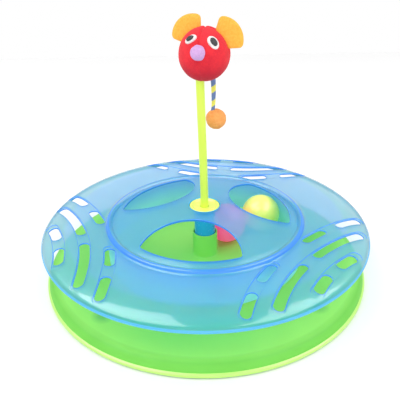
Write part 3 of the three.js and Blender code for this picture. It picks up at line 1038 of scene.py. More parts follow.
@dataclass
class Cover:
    """The clear blue cover: dome, raised ring, flat ring and curved edge in one skin, wall and hub."""

    rim_level: float = 36.5
    radius: float = 125.0
    wall: float = 1.8
    rim_bead: float = 1.1
    rim_rise: float = 0.9  # of the rim's line over its level
    edge_start: float = 102.0
    edge_drop: float = 7.0
    edge_fullness: float = 2.2
    ring_dip: float = 1.1
    bead_radius: float = 76.4
    bead_width: float = 4.7
    bead_height: float = 1.5
    dome_top: float = 17.6
    dome_fall: float = 0.0019
    chamber_end: float = 14.8
    chamber_wall: float = 1.5
    hub_radius: float = 8.1
    hub_bore: float = 6.5
    hub_end: float = 10.6
    recess_radius: float = 11.8
    recess_row: float = 12.5
    lip_run: float = 0.36  # of the section outside the recess
    recess_floor: float = 51.94
    petal_phase: float = 258.8
    petal_reach: float = 65.7
    petal_radius: float = 36.7
    petal_centre: float = 59.5
    petal_corner: float = 3.0
    group_phase: float = -41.5
    arc_centre: float = 239.0
    slot_half: float = 3.6
    channel_half: float = 4.5
    channel_depth: float = 0.6
    channel_slope: float = 0.35
    channel_fade: float = 0.8  # from the raised ring to a channel's full depth
    # of each arc, the share of the ring's width at its middle and its slots on either side
    slot_arcs: tuple[tuple[float, int], ...] = ((0.0123, 2), (0.3704, 1), (0.7366, 1))
    slot_rib: float = 12.2
    slot_to_ring: float = 1.7
    slot_end: float = 8.8
    channel_runout: float = 1.6
    channel_stop: float = 77.6  # radius where the channels end at the raised ring
    rounding: float = 0.35  # of the edges round every opening
    spacing: float = 2.6  # of the points inside the skin
    edge_spacing: float = 1.6  # of the points along an opening
    big_steps: int = 240
    hub_steps: int = 96
    bead_rows: tuple[float, ...] = (
        *(70.7, 71.2, 71.7, 72.0, 72.5, 73.2, 74.05),
        *(74.9, 75.6, 76.1, 76.4, 76.8, 77.4),
    )
    bead_flank: Span = (74.0, 76.7)  # radii between which the raised ring shows its depth
    bead_soft: int = 6  # samples on either side in the mean that softens its corners
    bead_sample: float = 0.05
    outer_row: float = 123.3
    inner_row: float = 121.3

    def __post_init__(self) -> None:
        """Lists the bands of one group of slots and keeps the raised ring's section."""
        self.slots: list[Band] = []
        self.channels: list[Band] = []
        for share, count in self.slot_arcs:
            radius = self.arc_centre - self.bead_radius - share * (self.radius - self.bead_radius)
            start = self.crossing(radius, self.bead_radius + self.channel_half)
            end = self.crossing(radius, self.radius - self.slot_end + self.channel_runout)
            self.channels.append(Band(self.arc_centre, radius, self.channel_half, start or -end, end))
            for low, high in self.slot_spans(radius, count):
                self.slots.append(Band(self.arc_centre, radius, self.slot_half, low, high))
        self.table = self.top_table()

    # Levels of the skin

    def edge_level(self, radius: Array, depth: float) -> Array:
        """Level of the curved edge.

        It is a superellipse from the flat ring to the rim: height share = (1 - run share ^ n) ^ (1 / n).

        Args:
            radius: radii of the places.
            depth: how far the edge is drawn in.

        Returns:
            The levels.
        """
        reach = self.radius - self.rim_bead / 2 - self.edge_start - depth
        share = np.clip((radius - self.edge_start) / reach, 0, 1) ** self.edge_fullness
        return self.rim_level + (self.edge_drop - depth) * (1 - share) ** (1 / self.edge_fullness)

    def dome_level(self, radius: float | Array) -> float | Array:
        """Level of the dome: a paraboloid."""
        return self.rim_level + self.dome_top - self.dome_fall * radius**2

    def ring_level(self, radius: Array, depth: float) -> Array:
        """Level of the flat ring and the curved edge.

        Args:
            radius: radii of the places.
            depth: how far into the skin.

        Returns:
            The levels.
        """
        share = (self.edge_start - radius) / (self.edge_start - self.bead_radius)
        ring = self.rim_level + self.edge_drop - self.ring_dip * share**2 - depth
        return np.where(radius < self.edge_start, ring, self.edge_level(radius, depth))

    def plain_level(self, radius: Array) -> Array:
        """Level of the outer skin without the raised ring and the channels.

        Args:
            radius: radii of the places.

        Returns:
            The levels of dome, flat ring and curved edge.
        """
        return np.where(radius < self.bead_radius - 1, self.dome_level(radius), self.ring_level(radius, 0))

    def top_table(self) -> tuple[Array, Array]:
        """The outer skin's section across the raised ring, its corners softened by a short moving mean."""
        middle = self.bead_radius - self.bead_width / 2
        half = self.bead_width / 2
        foot = self.dome_level(middle)
        angle = np.pi * (1 - np.linspace(0, 1, 25))
        line_r = np.concatenate([[middle - half - 1], middle + half * np.cos(angle), [middle + half + 1]])
        line_z = np.concatenate([[0.0], foot + self.bead_height * np.sin(angle), [0.0]])
        line_z[0] = self.dome_level(line_r[0])
        line_z[-1] = float(self.plain_level(np.array([line_r[-1]]))[0])
        radius = np.arange(middle - half - 3, middle + half + 3, self.bead_sample)
        level = np.where(
            (radius > line_r[0]) & (radius < line_r[-1]),
            np.interp(radius, line_r, line_z),
            self.plain_level(np.where(radius < middle, np.minimum(radius, line_r[0]), radius)),
        )
        count, rest = 2 * self.bead_soft + 1, 2 * self.bead_soft
        soft = np.convolve(np.pad(level, self.bead_soft, mode="edge"), np.ones(count) / count, mode="valid")
        soft[:rest], soft[-rest:] = level[:rest], level[-rest:]
        return radius, soft

    def crossing(self, radius: float, circle: float) -> float:
        """Angle at the arcs' centre where an arc crosses a circle round the axis, 0 if it lies outside."""
        cosine = (self.arc_centre**2 + radius**2 - circle**2) / (2 * self.arc_centre * radius)
        return math.acos(min(1.0, cosine))

    def slot_spans(self, radius: float, count: int) -> list[Span]:
        """Divides an arc's one side into slots of equal length with ribs between.

        Args:
            radius: the arc's radius.
            count: how many slots.

        Returns:
            Each slot's first and last angle from the group's middle.
        """
        rib = (self.slot_rib + 2 * self.slot_half) / radius
        first = max(rib / 2, self.crossing(radius, self.bead_radius + self.slot_to_ring + self.slot_half))
        last = self.crossing(radius, self.radius - self.slot_end)
        length = (last - first - (count - 1) * rib) / count
        return [(first + i * (length + rib), first + i * (length + rib) + length) for i in range(count)]

    def in_group(self, x: Array, y: Array) -> tuple[Array, Array]:
        """Turns places into the frame of the group of slots that they lie in, its middle along +X.

        Args:
            x: the places' X.
            y: their Y.

        Returns:
            X and Y in the group's frame.
        """
        angle = np.arctan2(y, x) - math.radians(self.group_phase)
        third = 2 * np.pi / 3
        own = (angle + third / 2) % third - third / 2
        radius = np.hypot(x, y)
        return radius * np.cos(own), radius * np.sin(own)

    def band_distance(self, bands: Sequence[Band], x: Array, y: Array) -> Array:
        """Distance to the nearest of the bands' edges, below 0 inside one."""
        gx, gy = self.in_group(x, y)
        return np.minimum.reduce([band.distance(gx, gy) for band in bands])

    def petal_distance(self, x: Array, y: Array) -> Array:
        """Distance to the nearest petal's edge, below 0 inside.

        A petal is where a circle round the axis and one further out overlap; near its two corners the
        distance is that from the corner's centre less its rounding.

        Args:
            x: the places' X.
            y: their Y.

        Returns:
            The distances.
        """
        angle = np.arctan2(y, x) - math.radians(self.petal_phase)
        third = 2 * np.pi / 3
        own = np.abs((angle + third / 2) % third - third / 2)
        radius = np.hypot(x, y)
        px, py = radius * np.cos(own), radius * np.sin(own)
        kx, ky, reach_angle, petal_angle = self.petal_corner_place()
        own_arc = np.hypot(px - self.petal_centre, py) - self.petal_radius
        both = np.maximum(radius - self.petal_reach, own_arc)
        vx, vy = px - kx, py - ky
        turn = np.arctan2(vy, vx)
        corner = (turn > reach_angle) & (turn < petal_angle)
        return np.where(corner, np.hypot(vx, vy) - self.petal_corner, both)

    def petal_corner_place(self) -> tuple[float, float, float, float]:
        """Centre of a petal's corner circle and the angles where it meets the petal's two arcs.

        The centre is where both arcs, drawn in by the corner's radius, cross.
        """
        outer = self.petal_reach - self.petal_corner
        inner = self.petal_radius - self.petal_corner
        x = (outer**2 - inner**2 + self.petal_centre**2) / (2 * self.petal_centre)
        y = math.sqrt(outer**2 - x**2)
        return x, y, math.atan2(y, x), math.atan2(y, x - self.petal_centre)

    def top_level(self, x: Array, y: Array) -> Array:
        """Level of the outer skin: the plain skin or the raised ring, sunk in the channels.

        Args:
            x: the places' X.
            y: their Y.

        Returns:
            The levels.
        """
        radius = np.hypot(x, y)
        table_r, table_z = self.table
        near = (radius > table_r[0]) & (radius < table_r[-1])
        level = np.where(near, np.interp(radius, table_r, table_z), self.plain_level(radius))
        on_edge = self.edge_level(radius, self.channel_depth)
        sunk = np.where(radius < self.edge_start, level - self.channel_depth, on_edge)
        inside = smooth_step(-self.band_distance(self.channels, x, y) / self.channel_slope)
        inside = inside * smooth_step((radius - self.bead_radius) / self.channel_fade)
        return level - (level - sunk) * inside

    def under_level(self, x: Array, y: Array) -> Array:
        """Level of the inner skin: a wall's thickness under the outer one, lower under the recess.

        Args:
            x: the places' X.
            y: their Y.

        Returns:
            The levels.
        """
        radius = np.hypot(x, y)
        at_recess = self.dome_level(self.recess_radius) - self.wall
        hub_levels = [self.recess_floor - self.wall, at_recess]
        hub = np.interp(radius, [self.hub_radius, self.recess_radius], hub_levels)
        inside = np.where(radius < self.recess_radius, hub, self.dome_level(radius) - self.wall)
        outside = self.ring_level(radius, self.wall)
        return np.where(radius < self.bead_radius - self.chamber_wall / 2, inside, outside)

    def facing(self, level: Callable[[Array, Array], Array], x: Array, y: Array, up: bool) -> Array:
        """Normals of a skin: (-slope along X, -slope along Y, 1), turned over for the inner one.

        Args:
            level: gives the skin's level at places.
            x: the places' X.
            y: their Y.
            up: True for the outer skin, False for the inner one.

        Returns:
            The normals.
        """
        step = 0.02
        slope_x = (level(x + step, y) - level(x - step, y)) / (2 * step)
        slope_y = (level(x, y + step) - level(x, y - step)) / (2 * step)
        normals = unit(np.column_stack([-slope_x, -slope_y, np.ones_like(slope_x)]))
        return normals if up else -normals

    # Parts of the shell

    def petal_outline(self) -> Outline:
        """One petal: the arc round the axis, a corner, the petal's own arc, a corner."""
        x, y, reach_angle, petal_angle = self.petal_corner_place()
        return Outline.of_arcs(
            [
                ((0.0, 0.0), self.petal_reach, -reach_angle, reach_angle, 1),
                ((x, y), self.petal_corner, reach_angle, petal_angle, 1),
                ((self.petal_centre, 0.0), self.petal_radius, petal_angle, 2 * math.pi - petal_angle, 1),
                ((x, -y), self.petal_corner, -petal_angle, -reach_angle, 1),
            ],
            self.edge_spacing,
        )

    def rim_of_hole(self, shell: Shell, outline: Outline) -> tuple[Array, Array]:
        """Lines an opening: a rounded upper edge, a straight wall and a rounded lower edge.

        With the angle t from 0 to a right angle, a row of the rounding lies rounding * (1 - sin t) outside
        the wall and rounding * (1 - cos t) below the skin.

        Args:
            shell: the cover's shell.
            outline: the opening's outline.

        Returns:
            The point numbers of the rows in the outer and in the inner skin.
        """
        wide = outline.grown(self.rounding)
        upper = self.top_level(*wide.T)
        lower = self.under_level(*wide.T)
        facing_up = self.facing(self.top_level, *wide.T, up=True)
        facing_down = self.facing(self.under_level, *wide.T, up=False)
        across = np.column_stack([-outline.normals, np.zeros(len(wide))])
        quarter = np.linspace(0, np.pi / 2, 5)
        skins = ((-1, upper, facing_up, quarter), (1, lower, facing_down, quarter[::-1]))
        rows = []
        for sign, edge, facing, angles in skins:
            for angle in angles:
                place = outline.grown(self.rounding * (1 - math.sin(angle)))
                height = edge + sign * self.rounding * (1 - math.cos(angle))
                way = math.cos(angle) * facing + math.sin(angle) * across
                rows.append(shell.add(np.column_stack([place, height]), way))
        shell.join(rows, CoverPart.EDGE)
        return rows[0], rows[-1]

    def circle(self, shell: Shell, radius: float, count: int, up: bool) -> Array:
        """A row of points round the axis on a skin.

        Args:
            shell: the cover's shell.
            radius: the row's radius.
            count: how many points.
            up: True for the outer skin, False for the inner one.

        Returns:
            The points' numbers.
        """
        x, y = ring_points(radius, count)
        level = self.top_level if up else self.under_level
        return shell.add(np.column_stack([x, y, level(x, y)]), self.facing(level, x, y, up))

    def channel_lines(self) -> list[Array]:
        """Three lines along each channel's slope, in the disc's plane, kept clear of the raised ring."""
        lines = []
        for band in self.channels:
            for share in (0, 0.5, 1):
                half = band.half - self.channel_slope * share
                outline = replace(band, half=half).outline(self.edge_spacing)
                sides = [outline] if band.start < 0 else [outline, outline.mirrored()]
                for turn in range(3 * len(sides)):
                    line = sides[turn // 3].turned(self.group_phase + 120 * turn).points
                    radius = np.hypot(*line.T)
                    lines.append(line * (np.maximum(radius, self.channel_stop) / radius)[:, None])
        return lines

    def skin(
        self, shell: Shell, up: bool, span: Span, rows: Sequence[Array], lines: Sequence[Array] = ()
    ) -> None:
        """Fills a ring of skin between rows of points that it must keep, by a constrained triangulation.

        Inner points lie on circles, spacing apart along and between them, clear of openings and lines.

        Args:
            shell: the cover's shell.
            up: True for the outer skin, False for the inner one.
            span: the ring's inner and outer radius.
            rows: point numbers of closed rows: the two circles and the openings' edges.
            lines: closed lines of places that the triangles must follow, as the channels' slopes.
        """
        level = self.top_level if up else self.under_level
        corners = [shell.at(row)[:, :2] for row in rows] + list(lines)
        clear = 0.55 * self.spacing
        inner = []
        for radius in np.arange(span[0] + self.spacing, span[1] - clear, self.spacing):
            count = max(24, round(2 * np.pi * radius / self.spacing))
            inner.append(np.column_stack(ring_points(radius, count)))
        inner = np.concatenate(inner)
        keep = np.minimum(self.petal_distance(*inner.T), self.band_distance(self.slots, *inner.T)) > clear
        if up:
            keep &= np.abs(self.band_distance(self.channels, *inner.T)) > clear
        inner = inner[keep]
        fixed = sum(len(row) for row in rows)
        places = np.concatenate([*corners, inner])
        edges = []
        start = 0
        for loop in corners:
            number = np.arange(len(loop))
            edges.append(np.column_stack([number, np.roll(number, -1)]) + start)
            start += len(loop)
        out, _, faces, origins, _, _ = delaunay_2d_cdt(
            places.tolist(), np.concatenate(edges).tolist(), [], 0, 1e-5, True
        )
        first = np.array([group[0] if group else -1 for group in origins])
        out = np.array([tuple(place) for place in out])
        known = (first >= 0) & (first < fixed)
        numbers = np.empty(len(out), int)
        numbers[known] = np.concatenate(rows)[first[known]]
        free = out[~known]
        facing = self.facing(level, *free.T, up)
        numbers[~known] = shell.add(np.column_stack([free, level(*free.T)]), facing)
        triangles = np.array([face for face in faces if len(face) == 3])
        middle = out[triangles].mean(axis=1)
        radius = np.hypot(*middle.T)
        inside = (radius > span[0] - 0.01) & (radius < span[1])
        to_hole = np.minimum(self.petal_distance(*middle.T), self.band_distance(self.slots, *middle.T))
        inside &= to_hole > self.rounding - 0.03
        finish = CoverPart.SKIN
        if up:
            slope = -self.band_distance(self.channels, *middle[inside].T)
            on_slope = (slope > 0) & (slope < self.channel_slope) & (radius[inside] > self.channel_stop)
            finish = np.where(on_slope, CoverPart.EDGE, CoverPart.SKIN)
        shell.cover(numbers[triangles[inside]], finish)

    def belt(
        self, shell: Shell, first: Array, line: Array, last: Array, finish: int | Sequence[int]
    ) -> None:
        """Joins two rows of points by turning a line between them about the axis.

        Args:
            shell: the cover's shell.
            first: point numbers of the first row.
            line: (radius, height) points between the rows.
            last: point numbers of the last row.
            finish: the finish's number, or one for each gap between rows.
        """
        start = shell.at(first[:1])[0]
        end = shell.at(last[:1])[0]
        full = np.vstack([[math.hypot(*start[:2]), start[2]], line, [math.hypot(*end[:2]), end[2]]])
        facing = profile_normals(full)
        cosine, sine = ring_points(1.0, len(first))
        rows = [first]
        for (radius, height), (out, up) in zip(line, facing[1:-1]):
            rows.append(
                shell.add(
                    np.column_stack([radius * cosine, radius * sine, np.full(len(first), height)]),
                    np.column_stack([out * cosine, out * sine, np.full(len(first), up)]),
                )
            )
        rows.append(last)
        shell.join(rows, finish)

    def rim_line(self) -> Array:
        """Section from the inner skin round the rim's bead into the outer skin."""
        reach = self.radius - self.rim_bead / 2 - self.edge_start

        def edge(depth: float, angles: Sequence[float]) -> Array:
            """Points of the curved edge.

            Args:
                depth: how far it is drawn in.
                angles: the superellipse's angles in degrees, 0 at the top.

            Returns:
                (radius, height) points.
            """
            turn = np.radians(angles)
            power = 2 / self.edge_fullness
            run = self.edge_start + (reach - depth) * np.sin(turn) ** power
            return np.column_stack([run, self.rim_level + (self.edge_drop - depth) * np.cos(turn) ** power])

        angle = np.radians(np.linspace(52, -175, 16))
        middle = self.radius - self.rim_bead
        bead = np.column_stack(
            [middle + self.rim_bead * np.cos(angle), self.rim_level + self.rim_bead * np.sin(angle)]
        )
        return np.vstack([edge(0, (74, 78, 81)), bead, edge(self.wall, (82, 78, 73))])[::-1]

    def rim_finish(self, line: Array) -> Array:
        """Gives the rim's outer half its own finish, as it shows as a thin line.

        Args:
            line: the section's (radius, height) points.

        Returns:
            The finish's number for each gap between the section's rows.
        """
        on_rim = (line[:, 0] > self.radius - self.rim_bead) & (line[:, 1] < self.rim_level + self.rim_rise)
        return np.where(np.append(False, on_rim), CoverPart.RIM, CoverPart.SKIN)

    def hub_line(self) -> Array:
        """Section from the dome's edge down into the recess, through the hub's bore and up its outside."""
        lip = self.dome_level(self.recess_radius)
        under = float(self.under_level(np.array([self.hub_radius]), np.array([0.0]))[0])
        return rounded(
            [
                (self.recess_radius + self.lip_run, lip + 0.001, 0),
                (self.recess_radius, lip, 0.3),
                (self.recess_radius, self.recess_floor, 0.25),
                (self.hub_bore, self.recess_floor, 0.5),
                (self.hub_bore, self.hub_end, 0.4),
                (self.hub_radius, self.hub_end, 0.4),
                (self.hub_radius, under - 0.6, 0),
            ],
            steps=4,
        )

    def build(self) -> None:
        """Builds the cover as one closed shell."""
        shell = Shell()
        petals = [self.petal_outline().turned(self.petal_phase + 120 * i) for i in range(3)]
        slots = []
        for band in self.slots:
            plain = band.outline(self.edge_spacing)
            for third in range(3):
                turn = self.group_phase + 120 * third
                slots += [plain.turned(turn), plain.mirrored().turned(turn)]
        petal_rows = [self.rim_of_hole(shell, outline) for outline in petals]
        slot_rows = [self.rim_of_hole(shell, outline) for outline in slots]

        bead_rows = [self.circle(shell, radius, self.big_steps, up=True) for radius in self.bead_rows]
        start, end = self.bead_flank
        flank = [start < radius < end for radius in self.bead_rows[:-1]]
        shell.join(bead_rows, np.where(flank, CoverPart.EDGE, CoverPart.SKIN))
        hub_top = self.circle(shell, self.recess_row, self.hub_steps, up=True)
        outer_top = self.circle(shell, self.outer_row, self.big_steps, up=True)
        dome_rows = [hub_top, bead_rows[0], *(row for row, _ in petal_rows)]
        ring_rows = [bead_rows[-1], outer_top, *(row for row, _ in slot_rows)]
        self.skin(shell, True, (self.recess_row, self.bead_rows[0]), dome_rows)
        self.skin(shell, True, (self.bead_rows[-1], self.outer_row), ring_rows, self.channel_lines())

        wall_inside = self.bead_radius - self.chamber_wall
        hub_under = self.circle(shell, self.hub_radius, self.hub_steps, up=False)
        wall_in = self.circle(shell, wall_inside, self.big_steps, up=False)
        wall_out = self.circle(shell, self.bead_radius, self.big_steps, up=False)
        outer_under = self.circle(shell, self.inner_row, self.big_steps, up=False)
        dome_rows = [hub_under, wall_in, *(row for _, row in petal_rows)]
        ring_rows = [wall_out, outer_under, *(row for _, row in slot_rows)]
        self.skin(shell, False, (self.hub_radius, wall_inside), dome_rows)
        self.skin(shell, False, (self.bead_radius, self.inner_row), ring_rows)

        rim = self.rim_line()
        self.belt(shell, outer_under, rim, outer_top, self.rim_finish(rim))
        self.belt(shell, hub_top, self.hub_line(), hub_under, CoverPart.HUB)
        high_in = float(shell.at(wall_in[:1])[0][2])
        high_out = float(shell.at(wall_out[:1])[0][2])
        wall_line = rounded(
            [
                (wall_inside, high_in - 0.3, 0),
                (wall_inside, self.chamber_end, 0.5),
                (self.bead_radius, self.chamber_end, 0.5),
                (self.bead_radius, high_out - 0.3, 0),
            ]
        )
        self.belt(shell, wall_in, wall_line, wall_out, CoverPart.WALL)
        finishes = [COVER[part].make() for part in CoverPart]
        dress(shell.made("cover_moulding"), "cover", "cover_plastic", finishes, "cover")


# Mast


@dataclass
class Mast:
    """The flanged plug in the cover's hub and the flexible tube that stands in it."""

    flange_radius: float = 11.5
    flange_top: float = 53.835
    flange_thickness: float = 1.6
    dish: float = 1.1
    dish_radius: float = 8.6
    dish_edge: float = 10.1
    plug_end: float = 32.235
    spigot_radius: float = 6.2
    socket_radius: float = 3.3
    socket_floor: float = 34.235
    radius: float = 3.0
    bore: float = 1.8
    lean: float = 1.05
    top: float = 170.0
    end_bulge: float = 0.2
    around: int = 40
    plug_steps: int = 96

    def plug_line(self) -> Array:
        """Half the plug's section, from the socket's floor over the dished flange to its lower end."""
        floor = self.flange_top - self.dish
        under = self.flange_top - self.flange_thickness
        return rounded(
            [
                (0, self.socket_floor, 0),
                (self.socket_radius, self.socket_floor, 0.3),
                (self.socket_radius, floor, 0.3),
                (self.dish_radius, floor, 0.8),
                (self.dish_edge, self.flange_top, 0.5),
                (self.flange_radius, self.flange_top, 0.7),
                (self.flange_radius, under, 0.3),
                (self.spigot_radius, under, 0.3),
                (self.spigot_radius, self.plug_end, 0.9),
                (0, self.plug_end, 0),
            ],
            steps=5,
        )[::-1]

    def path(self) -> Array:
        """The tube's middle: straight in the plug, then leaning to -X by a little more and less again."""
        bend = self.flange_top + self.radius
        rise = self.top - bend
        lean = math.tan(math.radians(self.lean)) * rise
        corners = np.array(
            [
                [0, 0, self.socket_floor + 0.3],
                [0, 0, bend],
                [-0.25 * lean, 0, bend + 0.3 * rise],
                [-0.65 * lean, 0, bend + 0.65 * rise],
                [-lean, 0, self.top],
            ]
        )
        return centripetal_curve(corners, 14)

    def tube(self) -> Shell:
        """A tube with its bore: rings round the path, out and back, with rounded ends.

        A ring's point is the path's point plus its radius times the angle's cosine along X and sine along
        Y, since the path runs within a degree or two of straight up.
        """
        shell = Shell()
        path = self.path()
        cosine, sine = ring_points(1.0, self.around)
        way = np.column_stack([cosine, sine, np.zeros(self.around)])
        outside = [shell.add(centre + self.radius * way, way) for centre in path]
        inside = [shell.add(centre + self.bore * way, -way) for centre in path[::-1]]
        up, down = np.array([0, 0, 1.0]), np.array([0, 0, -1.0])
        thick = (self.radius + self.bore) / 2
        crown = shell.add(path[-1] + thick * way + self.end_bulge * up, np.tile(up, (self.around, 1)))
        foot = shell.add(path[0] + thick * way + self.end_bulge * down, np.tile(down, (self.around, 1)))
        shell.join([*outside, crown, *inside, foot, outside[0]])
        return shell

    def build(self) -> None:
        """Makes the plug and the tube."""
        plug = Shell()
        plug.turn(self.plug_line(), self.plug_steps)
        dress(plug.made("plug_moulding"), "mast", "mast_plastic", [PLUG.make()], "mast_plug")
        dress(self.tube().made("mast_hose"), "mast", "mast_plastic", [MAST.make()], "mast_tube")


# Head


@dataclass
class Head:
    """The stuffed head with its felt patches, nose and ears."""

    centre: Place = (1.6, 0.0, 168.3)
    radius: float = 17.3
    half_height: float = 18.05
    taper: float = 0.02
    seam_azimuth: float = -105.3
    seam_depth: float = 0.95
    seam_width: float = 0.85
    gore_swell: float = 0.35
    gore_half: float = 9.0  # from a seam to the full swell beside it
    low_seam: float = 0.25  # share of the seams' depth that is left below
    stitch: float = 2.4
    pucker: float = 0.45  # share by which the stitches deepen and lift the rucks
    ruck_depth: float = 0.12
    ruck_width: float = 2.4  # in widths of the seam's dip
    lump_height: float = 0.12
    lump_size: float = 11.0
    around: int = 192
    down: int = 120
    patch_steps: int = 64

    def reach(self, way: Array) -> Array:
        """Distance of the plain ball's surface from its middle along unit directions.

        It is an ellipsoid's, whose round section is a little wider below than above.

        Args:
            way: (n, 3) unit directions.

        Returns:
            The distances.
        """
        wide = self.radius * (1 - self.taper * way[:, 2])
        flat = np.hypot(way[:, 0], way[:, 1])
        return 1 / np.sqrt((flat / wide) ** 2 + (way[:, 2] / self.half_height) ** 2)

    def seam_fall(self, way: Array) -> Array:
        """How far the cloth lies below or above the plain ball at a direction.

        Two seams run over the crown, one down the face's middle and one from ear to ear. Beside each
        the cloth dips as a bell curve with small puckers at the stitches, and bulges midway. Below the
        head's middle the filling pulls the seams nearly flat.

        Args:
            way: (n, 3) unit directions.

        Returns:
            The heights over the plain ball.
        """
        azimuth = math.radians(self.seam_azimuth)
        fall = np.zeros(len(way))
        swell = np.ones(len(way))
        for number, turn in enumerate((azimuth + math.pi / 2, azimuth)):
            across = way @ np.array([math.cos(turn), math.sin(turn), 0])
            side = np.array([-math.sin(turn), math.cos(turn), 0])
            along = np.arctan2(way @ side, way[:, 2]) * self.radius
            off = np.arcsin(np.clip(across, -1, 1)) * self.radius
            pucker = 1 + self.pucker * np.cos(2 * np.pi * along / self.stitch + number)
            fall -= self.seam_depth * np.exp(-((off / self.seam_width) ** 2))
            fall -= self.ruck_depth * pucker * np.exp(-((off / (self.ruck_width * self.seam_width)) ** 2))
            swell *= np.clip(np.abs(off) / self.gore_half, 0, 1)
        tight = self.low_seam + (1 - self.low_seam) * smooth_step(way[:, 2] / 0.5 + 0.4)
        return fall * tight + self.gore_swell * smooth_step(swell)

    def surface(self, way: Array) -> Array:
        """Places of the stuffed surface along unit directions from the head's middle."""
        lump = self.lump_height * lumps(way * self.radius, self.lump_size, seed=3)
        distance = self.reach(way) + self.seam_fall(way) + lump
        return np.array(self.centre) + way * distance[:, None]

    def ball(self) -> Shell:
        """The ball as a grid of directions: down from the crown, and round the axis."""
        shell = Shell()
        fall = np.linspace(0, np.pi, self.down + 1)[1:-1]
        round_axis = np.column_stack(ring_points(1.0, self.around))
        rows = []
        for angle in fall:
            flat = round_axis * np.sin(angle)
            way = np.column_stack([flat, np.full(self.around, np.cos(angle))])
            rows.append(shell.add(self.surface(way), way))
        poles = np.array([[0, 0, 1.0], [0, 0, -1.0]])
        shell.seal(rows, self.surface(poles), poles)
        return shell

    def frame_at(self, azimuth: float, elevation: float, roll: float) -> Array:
        """The axes of a patch.

        Args:
            azimuth: the patch's azimuth in degrees.
            elevation: its height over the level, in degrees.
            roll: its turn as seen from outside, in degrees.

        Returns:
            Rows of its right, up and outward directions.
        """
        a, e, r = (math.radians(value) for value in (azimuth, elevation, roll))
        out = np.array([math.cos(e) * math.cos(a), math.cos(e) * math.sin(a), math.sin(e)])
        right = np.array([-math.sin(a), math.cos(a), 0])
        up = np.cross(out, right)
        across = math.cos(r) * right + math.sin(r) * up
        return np.array([across, np.cross(out, across), out])

    def patch(self, size: Span, look: Array, low: float, high: float) -> Shell:
        """An oval felt patch that follows the ball.

        A point at share u from the middle and angle v lies at (u width cos v, u height sin v) / 2 in the
        patch's plane, carried onto the ball. The top keeps its level until near the edge and then rounds
        down as a quarter of an ellipse.

        Args:
            size: width and height.
            look: the patch's axes.
            low: the level of its foot over the plain ball.
            high: the level of its top.

        Returns:
            The patch.
        """
        shell = Shell()
        cosine, sine = ring_points(1.0, self.patch_steps)
        aside = np.column_stack([cosine, sine]) @ look[:2]

        def row(share: float, level: float) -> Array:
            """Points of one oval row.

            Args:
                share: how far out it lies.
                level: how far over the plain ball.

            Returns:
                Their places.
            """
            x = share * size[0] / 2 * cosine
            y = share * size[1] / 2 * sine
            out = np.sqrt(self.radius**2 - x**2 - y**2)
            way = unit(np.column_stack([x, y, out]) @ look)
            wobble = 0.05 * lumps(way * self.radius, 2.2, seed=5)
            return np.array(self.centre) + way * (self.reach(way) + level + wobble)[:, None]

        flat, sunk = 0.8, 0.4
        rounds = flat + (1 - flat) * np.sin(np.linspace(0.2, np.pi / 2, 7))
        rows = []
        for share in np.concatenate([np.linspace(0.08, flat, 9), rounds]):
            edge = max(0.0, (share - flat) / (1 - flat))
            level = low + (high - low) * math.sqrt(max(0.0, 1 - edge**2.4))
            rows.append(shell.add(row(share, level), look[2] + 2 * edge**4 * aside))
        rows.append(shell.add(row(0.96, low - sunk), aside - look[2]))
        shell.seal(rows, [row(0.0, high)[0], row(0.0, low - sunk)[0]], [look[2], -look[2]])
        return shell


@dataclass
class Face:
    """Places and sizes of what is sewn on the head."""

    eye: dict[Side, Span] = field(default_factory=lambda: {Side.LEFT: (4.9, 8.3), Side.RIGHT: (6.4, 9.1)})
    pupil: dict[Side, Span] = field(default_factory=lambda: {Side.LEFT: (2.8, 4.9), Side.RIGHT: (3.5, 5.5)})
    eye_level: float = 1.4
    pupil_level: float = 2.3
    eyes: dict[Side, Place] = field(  # azimuth, elevation and roll in degrees
        default_factory=lambda: {Side.LEFT: (-129.8, 40.0, -50.0), Side.RIGHT: (-67.4, 33.2, 28.0)}
    )
    nose_radius: float = 4.9
    nose_place: Span = (-103.9, 13.0)
    nose_proud: float = 1.4


